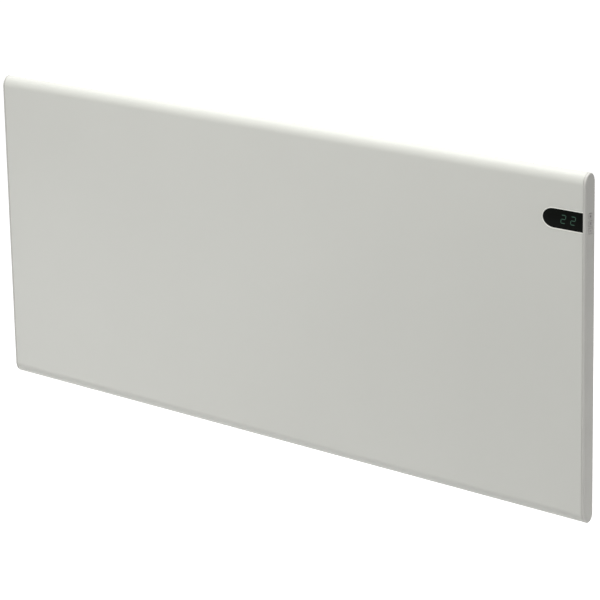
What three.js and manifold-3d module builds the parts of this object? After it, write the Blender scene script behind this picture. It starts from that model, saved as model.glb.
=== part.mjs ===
// Wall panel convector heater, in millimetres.
// +X runs to the right as seen from the room, +Y into the wall, +Z up.
// The origin is the middle of the wall bracket's back face, so the wall is the plane y = 0.
import * as THREE from "three";
import { mergeVertices } from "three/addons/utils/BufferGeometryUtils.js";
import Module from "manifold-3d";

const wasm = await Module();
wasm.setup();

// Whole heater
const HEATER_LENGTH = 853;
const PANEL_HEIGHT = 370;
const COVER_DEPTH = 30.5; // from the panel's rear plane to the rear cover's back
const WALL_GAP = 37; // from the rear cover's back to the wall
const CLEARANCE = 0.3; // between pieces that seat on each other

// Section of the slim panel: quarter ellipses at the front and rear of each long edge
const FRONT_EDGE_DEPTH = 9;
const FRONT_EDGE_RISE = 13;
const REAR_EDGE_DEPTH = 7.5;
const REAR_EDGE_RISE = 10;
const EDGE_STEPS = 5;
const SHEET = 1;
const RETURN_FLANGE = 20; // the sheet's turned-in edge on the back, below the curve

// End caps
const CAP_LIP = 3.2;
const CAP_EDGE_RADIUS = 1.6;
const CAP_EDGE_STEPS = 3;
const CAP_WALL = 1.8;
const CAP_END_WALL = 2;
const SPIGOT_LENGTH = 14;
const CAP_RIB = 2;
const CAP_RIB_RISES = [65, 145, 225]; // from the panel's bottom
const BOSS_WIDTH = 9;
const BOSS_DEPTH = 9;

// Display and buttons
const DISPLAY_DROP = 52; // from the panel's top to the middle of the display
const WINDOW_LENGTH = 51;
const WINDOW_WIDTH = 20;
const WINDOW_RIM = 1.6;
const WINDOW_THICKNESS = 1.7; // of the rim behind the sheet
const DIGITS_OFFSET = 19.5; // from the window's right end to the middle of the digits
const DIGITS_LENGTH = 25;
const DIGITS_WIDTH = 14;
const CARRIER_LENGTH = 66;
const CARRIER_WIDTH = 34;
const CARRIER_DEPTH = 6;
const CARRIER_WALL = 1.6;
const BOARD_POST_RADIUS = 3.2;
const BOARD_SCREW_INSET = 4; // from the edges of the board
const BOARD = 1.6;
const KEY_BOARD = 1.2;
const KEY_BOARD_LENGTH = 40;
const SWITCH_SIZE = 6;
const SWITCH_HEIGHT = 3.5;
const SWITCH_STEM = 0.8;
const SWITCH_STEM_RADIUS = 1.6;
const CHIP_OFFSET = 6; // from the middle of the control board
const CHIP_SIZE = 10;
const CHIP_HEIGHT = 1.6;
const BUTTON_COUNT = 3;
const BUTTON_NAMES = ["button_minus", "button_menu", "button_plus"];
const BUTTON_SPACING = 0.4; // between the flanges of two buttons
const BUTTON_LENGTH = 7.6;
const BUTTON_WIDTH = 5.8;
const BUTTON_CORNER = 1.4;
const BUTTON_PROUD = 0.3;
const BUTTON_FLANGE = 0.7;
const BUTTON_FLANGE_HEIGHT = 1.2;
const BUTTON_TRAVEL = 0.6;

// Rear cover: a pressed tray with walls at 45 degrees
const COVER_END_MARGIN = 14.5; // from the heater's end to the flange's edge
const COVER_EDGE_MARGIN = 13; // from the panel's top and bottom to the flange's edge
const TRAY_END_MARGIN = 73; // from the heater's end to the foot of the raised tray
const TRAY_EDGE_MARGIN = 31.5; // from the panel's top and bottom to the foot of the raised tray
const FLANGE_CORNER = 12;
const TRAY_FOOT_CORNER = 26;
const TRAY_TOP_CORNER = 12;
const SLOT_WIDTH = 4.6;
const SLOT_LENGTH = 26;
const SLOT_PITCH = 14;
const SLOTS_IN_GROUP = 6;
const SLOT_GROUP_PITCH = 106;
const BEAD_X = -20;
const BEAD_LENGTH = 300;
const BEAD_WIDTH = 12;
const BEAD_HEIGHT = 1.2;
const BEAD_HEIGHTS = [-30, 45];

// Heating element
const ELEMENT_GAP = 31.3; // from the tray's left wall to the finned core
const ELEMENT_RISE = 135; // from the panel's bottom to the rod
const CORE_DEPTH = 12;
const CORE_HEIGHT = 16;
const ROD_RADIUS = 4.2;
const ROD_END = 18; // of the rod beyond each end of the core
const PIN_LENGTH = 12;
const PIN_RADIUS = 2;
const COLLAR_LENGTH = 3; // insulating collar round each pin
const COLLAR_RADIUS = 3;
const FIN_PITCH = 10;
const FIN_THICKNESS = 0.8;
const FIN_DEPTH = 30;
const FIN_HEIGHT = 60;
const HOLDER_SHEET = 1.2;
const HOLDER_HEIGHT = 44;
const HOLDER_FOOT = 15;
const HOLDER_SCREW_INSET = 7; // from the holder's end
const BUSH_NECK_RADIUS = 7;
const BUSH_FLANGE_RADIUS = 9.5;
const BUSH_FLANGE = 5;
const BUSH_CHAMFER = 1;

// Heat shield, behind the front panel
const SHIELD_OFFSET = 6; // from the panel's front to the shield
const SHIELD_SHEET = 0.8;
const SHIELD_OVERHANG = 37; // beyond the core's left end
const SHIELD_BOTTOM_MARGIN = 65; // from the panel's bottom
const SHIELD_TOP_MARGIN = 45; // from the panel's top

// Electronics on the rear cover
const POWER_GAP = 6.3; // from the tray's right wall to the carrier
const POWER_RISE = 37; // from the terminal block's top to the carrier
const POWER_LENGTH = 60;
const POWER_HEIGHT = 100;
const POWER_DEPTH = 20;
const POWER_WALL = 1.8;
const POWER_POST = 7;
const POWER_POST_DEPTH = 6; // from the carrier's front edge to its posts
const POWER_PARTS = {
  relay: { x: -12, z: 28, length: 20, height: 16, depth: 12 },
  supply: { x: 10, z: -24, length: 24, height: 28, depth: 14 },
  sink: { x: 16, z: 24, length: 3, height: 30, depth: 13 },
  capacitor: { x: -14, z: -20, radius: 5, depth: 11 },
};
const TERMINAL_RISE = 31; // from the gland's middle to the block's
const TERMINAL_GAP = 2; // from the element's right end to the block
const TERMINAL_LENGTH = 36;
const TERMINAL_HEIGHT = 22;
const TERMINAL_DEPTH = 14;
const TERMINAL_PITCH = 10;
const TERMINAL_TOWER = 3;
const TERMINAL_TOWER_RADIUS = 3.6;
const TERMINAL_WAY_DEPTH = 6;
const TERMINAL_WAY_RADIUS = 2.4;
const CUTOUT_FROM_END = 123; // from the core's right end
const CUTOUT_ABOVE_FINS = 50;
const CUTOUT_RADIUS = 8.5;
const CUTOUT_HEIGHT = 6;
const CUTOUT_CAP = 5;
const CUTOUT_CAP_RADIUS = 6;
const CUTOUT_TAB_OFFSET = 3.4;
const CUTOUT_EAR_LENGTH = 32;
const CUTOUT_EAR_WIDTH = 10;
const SENSOR_MARGIN = 44.5; // from the heater's right end
const SENSOR_CLIP = { length: 10, depth: 3, height: 14 };
const SENSOR_BULB = { radius: 2.6, taper: 3, below: 9, above: 7 };
const SENSOR_STAND = 5; // from its seat to the middle of the bulb
const TAB_WIDTH = 6.3; // of a push-on terminal
const TAB_THICKNESS = 0.8;
const LEAD_RADIUS = 1.6;
const LEAD_BEND = 12; // from the corner of a route to where its bend starts
const SENSOR_LEAD_RADIUS = 1.1;
const CONTROL_LEAD_RADIUS = 1.8;
const SOCKET_OFFSET = 24; // from the middle of the control board to its socket
const SOCKET_LENGTH = 8;
const SOCKET_HEIGHT = 4;

// Cable gland in the rear cover
const GLAND_RISE = 20.3; // from the bottom of the tray's back to the gland's middle
const GLAND_BORE = 3.8;
const GLAND_NECK = 7.7;
const GLAND_FLANGE = 10.5;
const GLAND_OUTSIDE = 13;
const GLAND_NUT_RADIUS = 12;
const GLAND_NUT_DEPTH = 5;
const GLAND_BEYOND_NUT = 1.5;
const GLAND_WALL = 3.2; // round the bore at the cord's side
const GLAND_HEXAGON = 4; // from the shoulder to where the gland starts to narrow

// Wall bracket
const ARM_X = 200;
const ARM_WIDTH = 36;
const ARM_BOTTOM_MARGIN = 65; // from the panel's bottom to the arm's
const ARM_TOP_MARGIN = 67; // from the panel's top to the arm's
const ARM_WAIST = 20; // depth of the arm's sides in the middle
const ARM_WAIST_RISE = 42; // from the arm's bottom to where its sides start to narrow
const ARM_WAIST_DROP = 76; // from the arm's top to where its sides have narrowed
const ARM_FIXINGS = [58, 154]; // from the arm's bottom to its slots for wall screws
const BRACKET_SHEET = 1.5;
const ARM_CHAMFER = 5;
const HOOK_HEIGHT = 22; // from the arm's bottom to the neck's top, on which the rear cover hangs
const HOOK_NECK = 8;
const HOOK_RISE = 9;
const HOOK_TIP = 3;
const HOOK_DROP = 2; // free height of the cover's slots under the hooks
const HOOK_PLAY = 0.7; // of the hooks at each side, in the cover's slots
const RAIL_HEIGHT = 40;
const RAIL_DEPTH = 12;
const RAIL_TAB_DEPTH = 18.5;
const RAIL_SLOT_X = 120;
const FIXING_SLOT_LENGTH = 14;
const FIXING_SLOT_WIDTH = 6;
const RIVET_Z = 10;
const RIVET_Y = -13.5;
const RIVET_RADIUS = 2;
const RIVET_HEAD_RADIUS = 3.6;
const RIVET_HEAD = 1.2;
const RIVET_HEAD_TOP = 2.5;

// Spring catches at the top of the arms
const CATCH_TRAVEL = 8;
const CATCH_PLAY = 0.4; // at each side of the slider in the arm
const CATCH_SPINE_Y = -12; // front of the slider's spine
const CATCH_SPINE = 4;
const CATCH_DROP = 34; // from the arm's top to the slider's bottom
const CATCH_THUMB_RISE = 13; // from the arm's top to the thumb piece's top
const CATCH_THUMB_DEPTH = 13;
const CATCH_THUMB = 4;
const CATCH_CHEEK = 2.5;
const CATCH_CHEEK_RISE = 12; // above the nose's neck
const CATCH_FLOOR = 3;
const NOSE_WIDTH = 14;
const NOSE_DROP = 26; // from the arm's top to the nose's bottom
const NOSE_NECK = 8;
const NOSE_RISE = 7;
const NOSE_TIP = 3;
const NOSE_PLAY = 0.6; // at each side, in the cover's slot
const PEG_SIZE = 6;
const PEG_RISE = 2; // from the nose's bottom
const PEG_INSET = 0.2; // of its ends from the arm's sides
const PEG_Y = -21;
const SPRING_Y = -18;
const SPRING_RADIUS = 4.6; // to the middle of the wire
const SPRING_WIRE = 0.6;
const SPRING_TURNS = 6;
const SPRING_SHELF_MARGIN = 4; // round the spring
const SPRING_SHELF_DROP = 62; // from the arm's top to the shelf under the spring
const SPRING_SPIGOT_RADIUS = 3.2;
const SPRING_SPIGOT = 4;

// Screws
const SCREW_SIDES = 8;
const COVER_SCREW = { radius: 1.9, length: 7, headRadius: 4, head: 2 };
const CAP_SCREW = { radius: 1.5, length: 9, headRadius: 3, head: 1.8 };
const HOLDER_SCREW = { radius: 1.7, length: 4, headRadius: 3.4, head: 1.8 };
const BOARD_SCREW = { radius: 1.2, length: 5, headRadius: 2.4, head: 1.4 };
const COVER_SCREWS = 4; // in each of two rows
const COVER_SCREW_END_MARGIN = 96.5; // from the heater's end to the last screw of a row
const COVER_SCREW_MARGIN = 22; // from the panel's top and bottom to the rows
const CAP_SCREW_MARGIN = 20; // from the panel's top and bottom

// Planes that follow from the sizes above, as depths behind the panel's front
const PANEL_DEPTH = FRONT_EDGE_DEPTH + REAR_EDGE_DEPTH;
const HALF_LENGTH = HEATER_LENGTH / 2;
const HALF_HEIGHT = PANEL_HEIGHT / 2;
const SHEET_END = HALF_LENGTH - CAP_LIP - CLEARANCE;
const COVER_FRONT = PANEL_DEPTH + CLEARANCE;
const COVER_BACK = PANEL_DEPTH + COVER_DEPTH;
const COVER_INSIDE = COVER_BACK - SHEET;
const WALL = COVER_BACK + WALL_GAP;
const SEAT_ON_COVER = COVER_INSIDE - CLEARANCE;
const SHIELD_BACK = SHIELD_OFFSET + SHIELD_SHEET;
const WINDOW_BACK = SHEET + CLEARANCE + WINDOW_THICKNESS;
const CARRIER_BACK = WINDOW_BACK + CLEARANCE + CARRIER_DEPTH;
const SPIGOT_OUTSIDE = SHEET + CLEARANCE; // its inset from the panel's outline
const SPIGOT_INSIDE = SPIGOT_OUTSIDE + CAP_WALL;
const SPIGOT_END = HALF_LENGTH - CAP_LIP - SPIGOT_LENGTH;
const CAP_INSIDE = HALF_LENGTH - CAP_END_WALL;
const BUTTON_BACK = CAP_INSIDE - CLEARANCE - BUTTON_FLANGE_HEIGHT;
const BUTTON_PITCH = BUTTON_WIDTH + 2 * BUTTON_FLANGE + BUTTON_SPACING;
const KEY_BOARD_FACE = BUTTON_BACK - BUTTON_TRAVEL - CLEARANCE - SWITCH_HEIGHT;
const HOOK_REACH = WALL_GAP + SHEET + CLEARANCE; // from the wall to behind the cover's sheet
const ELEMENT_Y = (SHIELD_BACK + COVER_INSIDE) / 2;
const TRAY_RISE = COVER_BACK - COVER_FRONT - SHEET; // the tray's walls lean in by as much

// Places that follow from the sizes above, from the heater's middle
const DISPLAY_HEIGHT = HALF_HEIGHT - DISPLAY_DROP;
const TRAY_FOOT_X = HALF_LENGTH - TRAY_END_MARGIN;
const TRAY_FOOT_Z = HALF_HEIGHT - TRAY_EDGE_MARGIN;
const TRAY_BACK_X = TRAY_FOOT_X - TRAY_RISE;
const TRAY_BACK_Z = TRAY_FOOT_Z - TRAY_RISE;
const GLAND_Z = GLAND_RISE - TRAY_BACK_Z;
const TERMINAL_Z = GLAND_Z + TERMINAL_RISE;
const POWER_X = TRAY_BACK_X - POWER_GAP - POWER_LENGTH / 2;
const POWER_Z = TERMINAL_Z + TERMINAL_HEIGHT / 2 + POWER_RISE + POWER_HEIGHT / 2;
const CORE_RIGHT = POWER_X - POWER_LENGTH / 2 - HOLDER_FOOT - 2 * CLEARANCE;
const CORE_LEFT = ELEMENT_GAP - TRAY_BACK_X;
const CORE_LENGTH = CORE_RIGHT - CORE_LEFT;
const ELEMENT_X = (CORE_RIGHT + CORE_LEFT) / 2;
const ELEMENT_Z = ELEMENT_RISE - HALF_HEIGHT;
const SHIELD_LEFT = CORE_LEFT - SHIELD_OVERHANG;
const SHIELD_RIGHT = CORE_RIGHT + HOLDER_FOOT / 2;
const SHIELD_BOTTOM = SHIELD_BOTTOM_MARGIN - HALF_HEIGHT;
const SHIELD_TOP = HALF_HEIGHT - SHIELD_TOP_MARGIN;
const TERMINAL_X = CORE_RIGHT + ROD_END + PIN_LENGTH + TERMINAL_GAP + TERMINAL_LENGTH / 2;
const GLAND_X = TERMINAL_X;
const CUTOUT_X = CORE_RIGHT - CUTOUT_FROM_END;
const CUTOUT_Z = ELEMENT_Z + FIN_HEIGHT / 2 + CUTOUT_ABOVE_FINS;
const SENSOR_X = HALF_LENGTH - SENSOR_MARGIN;
const ARM_BOTTOM = ARM_BOTTOM_MARGIN - HALF_HEIGHT;
const ARM_TOP = HALF_HEIGHT - ARM_TOP_MARGIN;
const ARM_WAIST_BOTTOM = ARM_BOTTOM + ARM_WAIST_RISE;
const ARM_WAIST_TOP = ARM_TOP - ARM_WAIST_DROP;
const HOOK_TOP = ARM_BOTTOM + HOOK_HEIGHT;
const CATCH_BOTTOM = ARM_TOP - CATCH_DROP;
const CATCH_THUMB_TOP = ARM_TOP + CATCH_THUMB_RISE;
const NOSE_BOTTOM = ARM_TOP - NOSE_DROP;
const SPRING_SHELF_TOP = ARM_TOP - SPRING_SHELF_DROP;

const X = new THREE.Vector3(1, 0, 0);
const Y = new THREE.Vector3(0, 1, 0);
const Z = new THREE.Vector3(0, 0, 1);

// ---------------------------------------------------------------- finishes

const paint = () => finish(0xc6c7c1, 0.42, 0);
const mouldedPlastic = () => finish(0xb9b8b2, 0.5, 0);
const blackGloss = () => finish(0x0a0d0b, 0.08, 0);
const blackPlastic = () => finish(0x1c1d1d, 0.55, 0);
const zincSteel = () => finish(0xa9adb0, 0.38, 0.9);
const aluminium = () => finish(0xc9ccce, 0.35, 0.95);
const ceramic = () => finish(0xe8e2d4, 0.6, 0);
const boardGreen = () => finish(0x1f5a35, 0.5, 0);
const screwSteel = () => finish(0x8d9194, 0.3, 1);

function finish(color, roughness, metalness) {
  return new THREE.MeshStandardMaterial({ color, roughness, metalness });
}

// ---------------------------------------------------------------- solids

function solidOf(geometry) {
  const bare = geometry.clone();
  bare.deleteAttribute("normal");
  bare.deleteAttribute("uv");
  const merged = mergeVertices(bare, 1e-4);
  return new wasm.Manifold(
    new wasm.Mesh({
      numProp: 3,
      vertProperties: merged.attributes.position.array,
      triVerts: new Uint32Array(merged.index.array),
    }),
  );
}

function geometryOf(made) {
  const { vertProperties, triVerts } = made.getMesh();
  const geometry = new THREE.BufferGeometry();
  geometry.setAttribute("position", new THREE.BufferAttribute(vertProperties, 3));
  geometry.setIndex(new THREE.BufferAttribute(triVerts, 1));
  const faceted = geometry.toNonIndexed();
  faceted.computeVertexNormals();
  return faceted;
}

const join = (first, ...others) => others.reduce((whole, other) => whole.add(other), first);
const cut = (first, ...others) => others.reduce((whole, other) => whole.subtract(other), first);

function block([lowX, highX], [lowY, highY], [lowZ, highZ]) {
  const geometry = new THREE.BoxGeometry(highX - lowX, highY - lowY, highZ - lowZ);
  geometry.translate((lowX + highX) / 2, (lowY + highY) / 2, (lowZ + highZ) / 2);
  return solidOf(geometry);
}

// A span of the given size about a middle.
const about = (middle, size) => [middle - size / 2, middle + size / 2];

// An outline pushed along an axis. Across "x" the outline is (y, z), across "y" (x, z), across "z" (x, y).
function prism(axis, [from, to], outline) {
  const shape = new THREE.Shape(outline);
  const geometry = new THREE.ExtrudeGeometry(shape, { depth: to - from, bevelEnabled: false });
  const turn = new THREE.Matrix4();
  if (axis === "x") turn.makeBasis(Y, Z, X).setPosition(from, 0, 0);
  if (axis === "y") turn.makeBasis(X, Z, Y.clone().negate()).setPosition(0, to, 0);
  if (axis === "z") turn.setPosition(0, 0, from);
  return solidOf(geometry.applyMatrix4(turn));
}

// A profile of (radius, height) pairs turned about an axis; height runs along that axis.
function turned(axis, profile, sides) {
  const geometry = new THREE.LatheGeometry(profile.map(([r, h]) => point(r, h)), sides);
  if (axis === "x") geometry.rotateZ(-Math.PI / 2);
  if (axis === "z") geometry.rotateX(Math.PI / 2);
  return solidOf(geometry);
}

const rodAlong = (axis, radius, [from, to], sides) =>
  turned(axis, [[0, from], [radius, from], [radius, to], [0, to]], sides);

function point(x, y) {
  return new THREE.Vector2(x, y);
}

// A body through rings of equally many points, closed at its first and last ring.
function skinned(rings) {
  const count = rings[0].length;
  const positions = rings.flat().flatMap((p) => [p.x, p.y, p.z]);
  const faces = [];
  for (let ring = 0; ring + 1 < rings.length; ring += 1) {
    for (let i = 0; i < count; i += 1) {
      const a = ring * count + i;
      const b = ring * count + ((i + 1) % count);
      faces.push(a, b, b + count, a, b + count, a + count);
    }
  }
  const last = (rings.length - 1) * count;
  for (let i = 1; i + 1 < count; i += 1) {
    faces.push(0, i + 1, i, last, last + i, last + i + 1);
  }
  const geometry = new THREE.BufferGeometry();
  geometry.setAttribute("position", new THREE.Float32BufferAttribute(positions, 3));
  geometry.setIndex(faces);
  return solidOf(geometry);
}

// ---------------------------------------------------------------- outlines

// Points on an ellipse's arc: its start and sweep are in quarter turns.
function arc(centre, radiusX, radiusY, start, sweep, steps) {
  const points = [];
  for (let i = 0; i <= steps; i += 1) {
    const angle = (start + (sweep * i) / steps) * (Math.PI / 2);
    points.push(point(centre.x + radiusX * Math.cos(angle), centre.y + radiusY * Math.sin(angle)));
  }
  return points;
}

// The panel's section as (y, z), drawn in by an inset: y is the depth behind its front.
function panelOutline(inset) {
  const corner = (quarterTurn, rise, depth, side) =>
    arc(
      point(FRONT_EDGE_DEPTH, side * (HALF_HEIGHT - rise)),
      depth - inset,
      rise - inset,
      quarterTurn,
      1,
      EDGE_STEPS,
    );
  return [
    ...corner(0, REAR_EDGE_RISE, REAR_EDGE_DEPTH, 1).slice(0, -1),
    ...corner(1, FRONT_EDGE_RISE, FRONT_EDGE_DEPTH, 1),
    ...corner(2, FRONT_EDGE_RISE, FRONT_EDGE_DEPTH, -1).slice(0, -1),
    ...corner(3, REAR_EDGE_RISE, REAR_EDGE_DEPTH, -1),
  ];
}

function roundedRectangle(centre, halfX, halfY, radius, steps) {
  const corner = (sideX, sideY, start) =>
    arc(
      point(centre.x + sideX * (halfX - radius), centre.y + sideY * (halfY - radius)),
      radius,
      radius,
      start,
      1,
      steps,
    );
  return [...corner(1, 1, 0), ...corner(-1, 1, 1), ...corner(-1, -1, 2), ...corner(1, -1, 3)];
}

// A slot with round ends, upright or lying, as (x, z).
function slotOutline(centre, length, width, upright, steps) {
  const radius = width / 2;
  const straight = length / 2 - radius;
  const end = (side, start) => {
    const middle = upright ? [0, side * straight] : [side * straight, 0];
    return arc(point(centre.x + middle[0], centre.y + middle[1]), radius, radius, start, 2, steps);
  };
  return upright ? [...end(1, 0), ...end(-1, 2)] : [...end(1, 3), ...end(-1, 1)];
}

function polygon(centre, radius, sides) {
  const points = [];
  for (let i = 0; i < sides; i += 1) {
    const angle = (2 * Math.PI * (i + 0.5)) / sides;
    points.push(point(centre.x + radius * Math.cos(angle), centre.y + radius * Math.sin(angle)));
  }
  return points;
}

const pairs = (list) => list.map(([a, b]) => point(a, b));

// The display window's outline as (x, z): a half round at the left, square at the sheet's end.
function windowOutline(margin, rightEnd) {
  const halfWidth = WINDOW_WIDTH / 2 + margin;
  const centre = point(SHEET_END - WINDOW_LENGTH + WINDOW_WIDTH / 2, DISPLAY_HEIGHT);
  return [
    point(rightEnd, DISPLAY_HEIGHT - halfWidth),
    point(rightEnd, DISPLAY_HEIGHT + halfWidth),
    ...arc(centre, halfWidth, halfWidth, 1, 2, 2 * EDGE_STEPS),
  ];
}

// ---------------------------------------------------------------- front panel and end caps

function frontPanel() {
  const outside = prism("x", [-SHEET_END, SHEET_END], panelOutline(0));
  const inside = prism("x", [-SHEET_END - 1, SHEET_END + 1], panelOutline(SHEET));
  const openHalf = HALF_HEIGHT - REAR_EDGE_RISE - RETURN_FLANGE;
  const back = block(
    [-SHEET_END - 1, SHEET_END + 1],
    [PANEL_DEPTH - 2 * SHEET, PANEL_DEPTH + 1],
    [-openHalf, openHalf],
  );
  const notch = prism("y", [-1, 2 * SHEET], windowOutline(CLEARANCE, SHEET_END + 1));
  const holes = [
    ...coverScrewPlaces().map(([x, z]) => flangeHole(x, z, COVER_SCREW)),
    ...capScrewPlaces().map(([x, z]) => flangeHole(x, z, CAP_SCREW)),
  ];
  return cut(outside, inside, back, notch, ...holes);
}

function flangeHole(x, z, screw) {
  const span = [PANEL_DEPTH - 2 * SHEET, PANEL_DEPTH + 1];
  return prism("y", span, polygon(point(x, z), screw.radius + CLEARANCE, SCREW_SIDES));
}

function coverScrewPlaces() {
  const z = HALF_HEIGHT - COVER_SCREW_MARGIN;
  const reach = HALF_LENGTH - COVER_SCREW_END_MARGIN;
  const places = [];
  for (let i = 0; i < COVER_SCREWS; i += 1) {
    places.push(-reach + (2 * reach * i) / (COVER_SCREWS - 1));
  }
  return [-z, z].flatMap((height) => places.map((x) => [x, height]));
}

function capScrewPlaces() {
  const x = capScrewX();
  const z = capScrewZ();
  return [[-x, -z], [-x, z], [x, -z], [x, z]];
}

const capScrewX = () => SHEET_END - BOSS_WIDTH / 2;
const capScrewZ = () => HALF_HEIGHT - CAP_SCREW_MARGIN;

// The right end cap, without its button holes: the left one is the same moulding turned over.
function plainCap() {
  const lip = HALF_LENGTH - CAP_LIP;
  const rings = [[lip, 0]];
  for (let i = 0; i <= CAP_EDGE_STEPS; i += 1) {
    const angle = (i / CAP_EDGE_STEPS) * (Math.PI / 2);
    const x = HALF_LENGTH - CAP_EDGE_RADIUS * (1 - Math.sin(angle));
    rings.push([x, CAP_EDGE_RADIUS * (1 - Math.cos(angle))]);
  }
  const plug = skinned(
    rings.map(([x, inset]) => panelOutline(inset).map((p) => new THREE.Vector3(x, p.x, p.y))),
  );
  const spigot = prism("x", [SPIGOT_END, lip + 1], panelOutline(SPIGOT_OUTSIDE));
  const hollow = prism("x", [SPIGOT_END - 1, CAP_INSIDE], panelOutline(SPIGOT_INSIDE));
  const shell = cut(join(plug, spigot), hollow);
  const ribs = CAP_RIB_RISES.map((rise) => capRib(rise - HALF_HEIGHT - CAP_RIB / 2));
  const bosses = [-1, 1].map((side) => capBoss(side * capScrewZ()));
  const pilots = [-1, 1].map((side) => capPilot(side * capScrewZ()));
  return cut(join(shell, ...ribs, ...bosses), ...pilots);
}

function capRib(bottom) {
  const wall = SPIGOT_OUTSIDE + CAP_WALL / 2;
  return block(
    [SPIGOT_END, HALF_LENGTH - CAP_END_WALL / 2],
    [wall, PANEL_DEPTH - wall],
    [bottom, bottom + CAP_RIB],
  );
}

function capBoss(z) {
  const back = PANEL_DEPTH - SPIGOT_OUTSIDE - CAP_WALL / 2;
  return block(
    [capScrewX() - BOSS_WIDTH / 2, HALF_LENGTH - CAP_END_WALL / 2],
    [back - BOSS_DEPTH, back],
    about(z, BOSS_WIDTH),
  );
}

function capPilot(z) {
  const span = [PANEL_DEPTH - SHEET - CAP_SCREW.length - 1, PANEL_DEPTH];
  const hole = polygon(point(capScrewX(), z), CAP_SCREW.radius + CLEARANCE, SCREW_SIDES);
  return prism("y", span, hole);
}

function rightCap() {
  const half = KEY_BOARD_LENGTH / 2 + CLEARANCE;
  const guides = [
    capRib(DISPLAY_HEIGHT + half),
    capRib(DISPLAY_HEIGHT - half - CAP_RIB),
  ];
  const displayRoom = block(
    [SPIGOT_END - 1, HALF_LENGTH - CAP_LIP],
    [-1, SPIGOT_INSIDE + CLEARANCE],
    about(DISPLAY_HEIGHT, CARRIER_WIDTH + 2 * CLEARANCE),
  );
  const holes = buttonHeights().map((z) =>
    prism("x", [CAP_INSIDE - 1, HALF_LENGTH + 1], buttonOutline(z, CLEARANCE)),
  );
  return cut(join(plainCap(), ...guides), displayRoom, ...holes);
}

// ---------------------------------------------------------------- display and buttons

function displayWindow() {
  const glass = prism("y", [0, WINDOW_BACK], windowOutline(0, SHEET_END));
  const behindSheet = [SHEET + CLEARANCE, WINDOW_BACK];
  const rim = prism("y", behindSheet, windowOutline(WINDOW_RIM, SHEET_END));
  return join(glass, rim);
}

function buttonHeights() {
  const middle = (BUTTON_COUNT - 1) / 2;
  return BUTTON_NAMES.map((name, i) => DISPLAY_HEIGHT + (i - middle) * BUTTON_PITCH);
}

function buttonOutline(z, margin) {
  const centre = point(PANEL_DEPTH / 2, z);
  const halfLength = BUTTON_LENGTH / 2 + margin;
  return roundedRectangle(centre, halfLength, BUTTON_WIDTH / 2 + margin, BUTTON_CORNER + margin, 2);
}

// One push button, about its own middle height.
function button() {
  const key = prism("x", [BUTTON_BACK, HALF_LENGTH + BUTTON_PROUD], buttonOutline(0, 0));
  const flange = prism(
    "x",
    [BUTTON_BACK, BUTTON_BACK + BUTTON_FLANGE_HEIGHT],
    buttonOutline(0, BUTTON_FLANGE),
  );
  return join(key, flange);
}

function keyBoard() {
  const depth = PANEL_DEPTH - 2 * (SPIGOT_INSIDE + CLEARANCE);
  const board = block(
    [KEY_BOARD_FACE - KEY_BOARD, KEY_BOARD_FACE],
    about(PANEL_DEPTH / 2, depth),
    about(DISPLAY_HEIGHT, KEY_BOARD_LENGTH),
  );
  const switches = buttonHeights().map((z) => keySwitch().translate([0, PANEL_DEPTH / 2, z]));
  return join(board, ...switches);
}

function keySwitch() {
  const shoulder = KEY_BOARD_FACE + SWITCH_HEIGHT - SWITCH_STEM;
  const base = block(
    [KEY_BOARD_FACE - KEY_BOARD / 2, shoulder],
    about(0, SWITCH_SIZE),
    about(0, SWITCH_SIZE),
  );
  const stem = rodAlong("x", SWITCH_STEM_RADIUS, [KEY_BOARD_FACE, shoulder + SWITCH_STEM], 8);
  return join(base, stem);
}

const carrierRight = () => KEY_BOARD_FACE - KEY_BOARD - CLEARANCE;
const carrierX = () => carrierRight() - CARRIER_LENGTH / 2;

// A frame round the digits, open towards the right cap.
function displayCarrier() {
  const span = [WINDOW_BACK + CLEARANCE, CARRIER_BACK];
  const outside = block(about(carrierX(), CARRIER_LENGTH), span, about(DISPLAY_HEIGHT, CARRIER_WIDTH));
  const room = block(
    [carrierX() - CARRIER_LENGTH / 2 + CARRIER_WALL, carrierRight() + 1],
    [span[0] - 1, span[1] + 1],
    about(DISPLAY_HEIGHT, CARRIER_WIDTH - 2 * CARRIER_WALL),
  );
  const posts = boardScrewPlaces().map(([x, z]) =>
    prism("y", span, polygon(point(x, z), BOARD_POST_RADIUS, SCREW_SIDES)),
  );
  const pilots = boardHoles([span[0] + 1, span[1] + 1]);
  return cut(join(cut(outside, room), ...posts), ...pilots);
}

function boardHoles(span) {
  const radius = BOARD_SCREW.radius + CLEARANCE;
  return boardScrewPlaces().map(([x, z]) =>
    prism("y", span, polygon(point(x, z), radius, SCREW_SIDES)),
  );
}

function boardScrewPlaces() {
  const left = carrierX() - CARRIER_LENGTH / 2 + BOARD_SCREW_INSET;
  const half = CARRIER_WIDTH / 2 - BOARD_SCREW_INSET;
  return [[left, DISPLAY_HEIGHT - half], [left, DISPLAY_HEIGHT + half]];
}

function displayModule() {
  return block(
    about(SHEET_END - DIGITS_OFFSET, DIGITS_LENGTH),
    [WINDOW_BACK + CLEARANCE, CARRIER_BACK],
    about(DISPLAY_HEIGHT, DIGITS_WIDTH),
  );
}

function controlBoard() {
  const front = CARRIER_BACK + CLEARANCE;
  const board = block(
    about(carrierX(), CARRIER_LENGTH),
    [front, front + BOARD],
    about(DISPLAY_HEIGHT, CARRIER_WIDTH),
  );
  const chip = block(
    about(carrierX() + CHIP_OFFSET, CHIP_SIZE),
    [front + BOARD / 2, front + BOARD + CHIP_HEIGHT],
    about(DISPLAY_HEIGHT, CHIP_SIZE),
  );
  const socket = block(
    about(carrierX() - SOCKET_OFFSET, SOCKET_LENGTH),
    [front + BOARD / 2, front + BOARD + SOCKET_HEIGHT],
    about(DISPLAY_HEIGHT, SOCKET_LENGTH),
  );
  return cut(join(board, chip, socket), ...boardHoles([front - 1, front + BOARD + 1]));
}

// ---------------------------------------------------------------- rear cover

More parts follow.
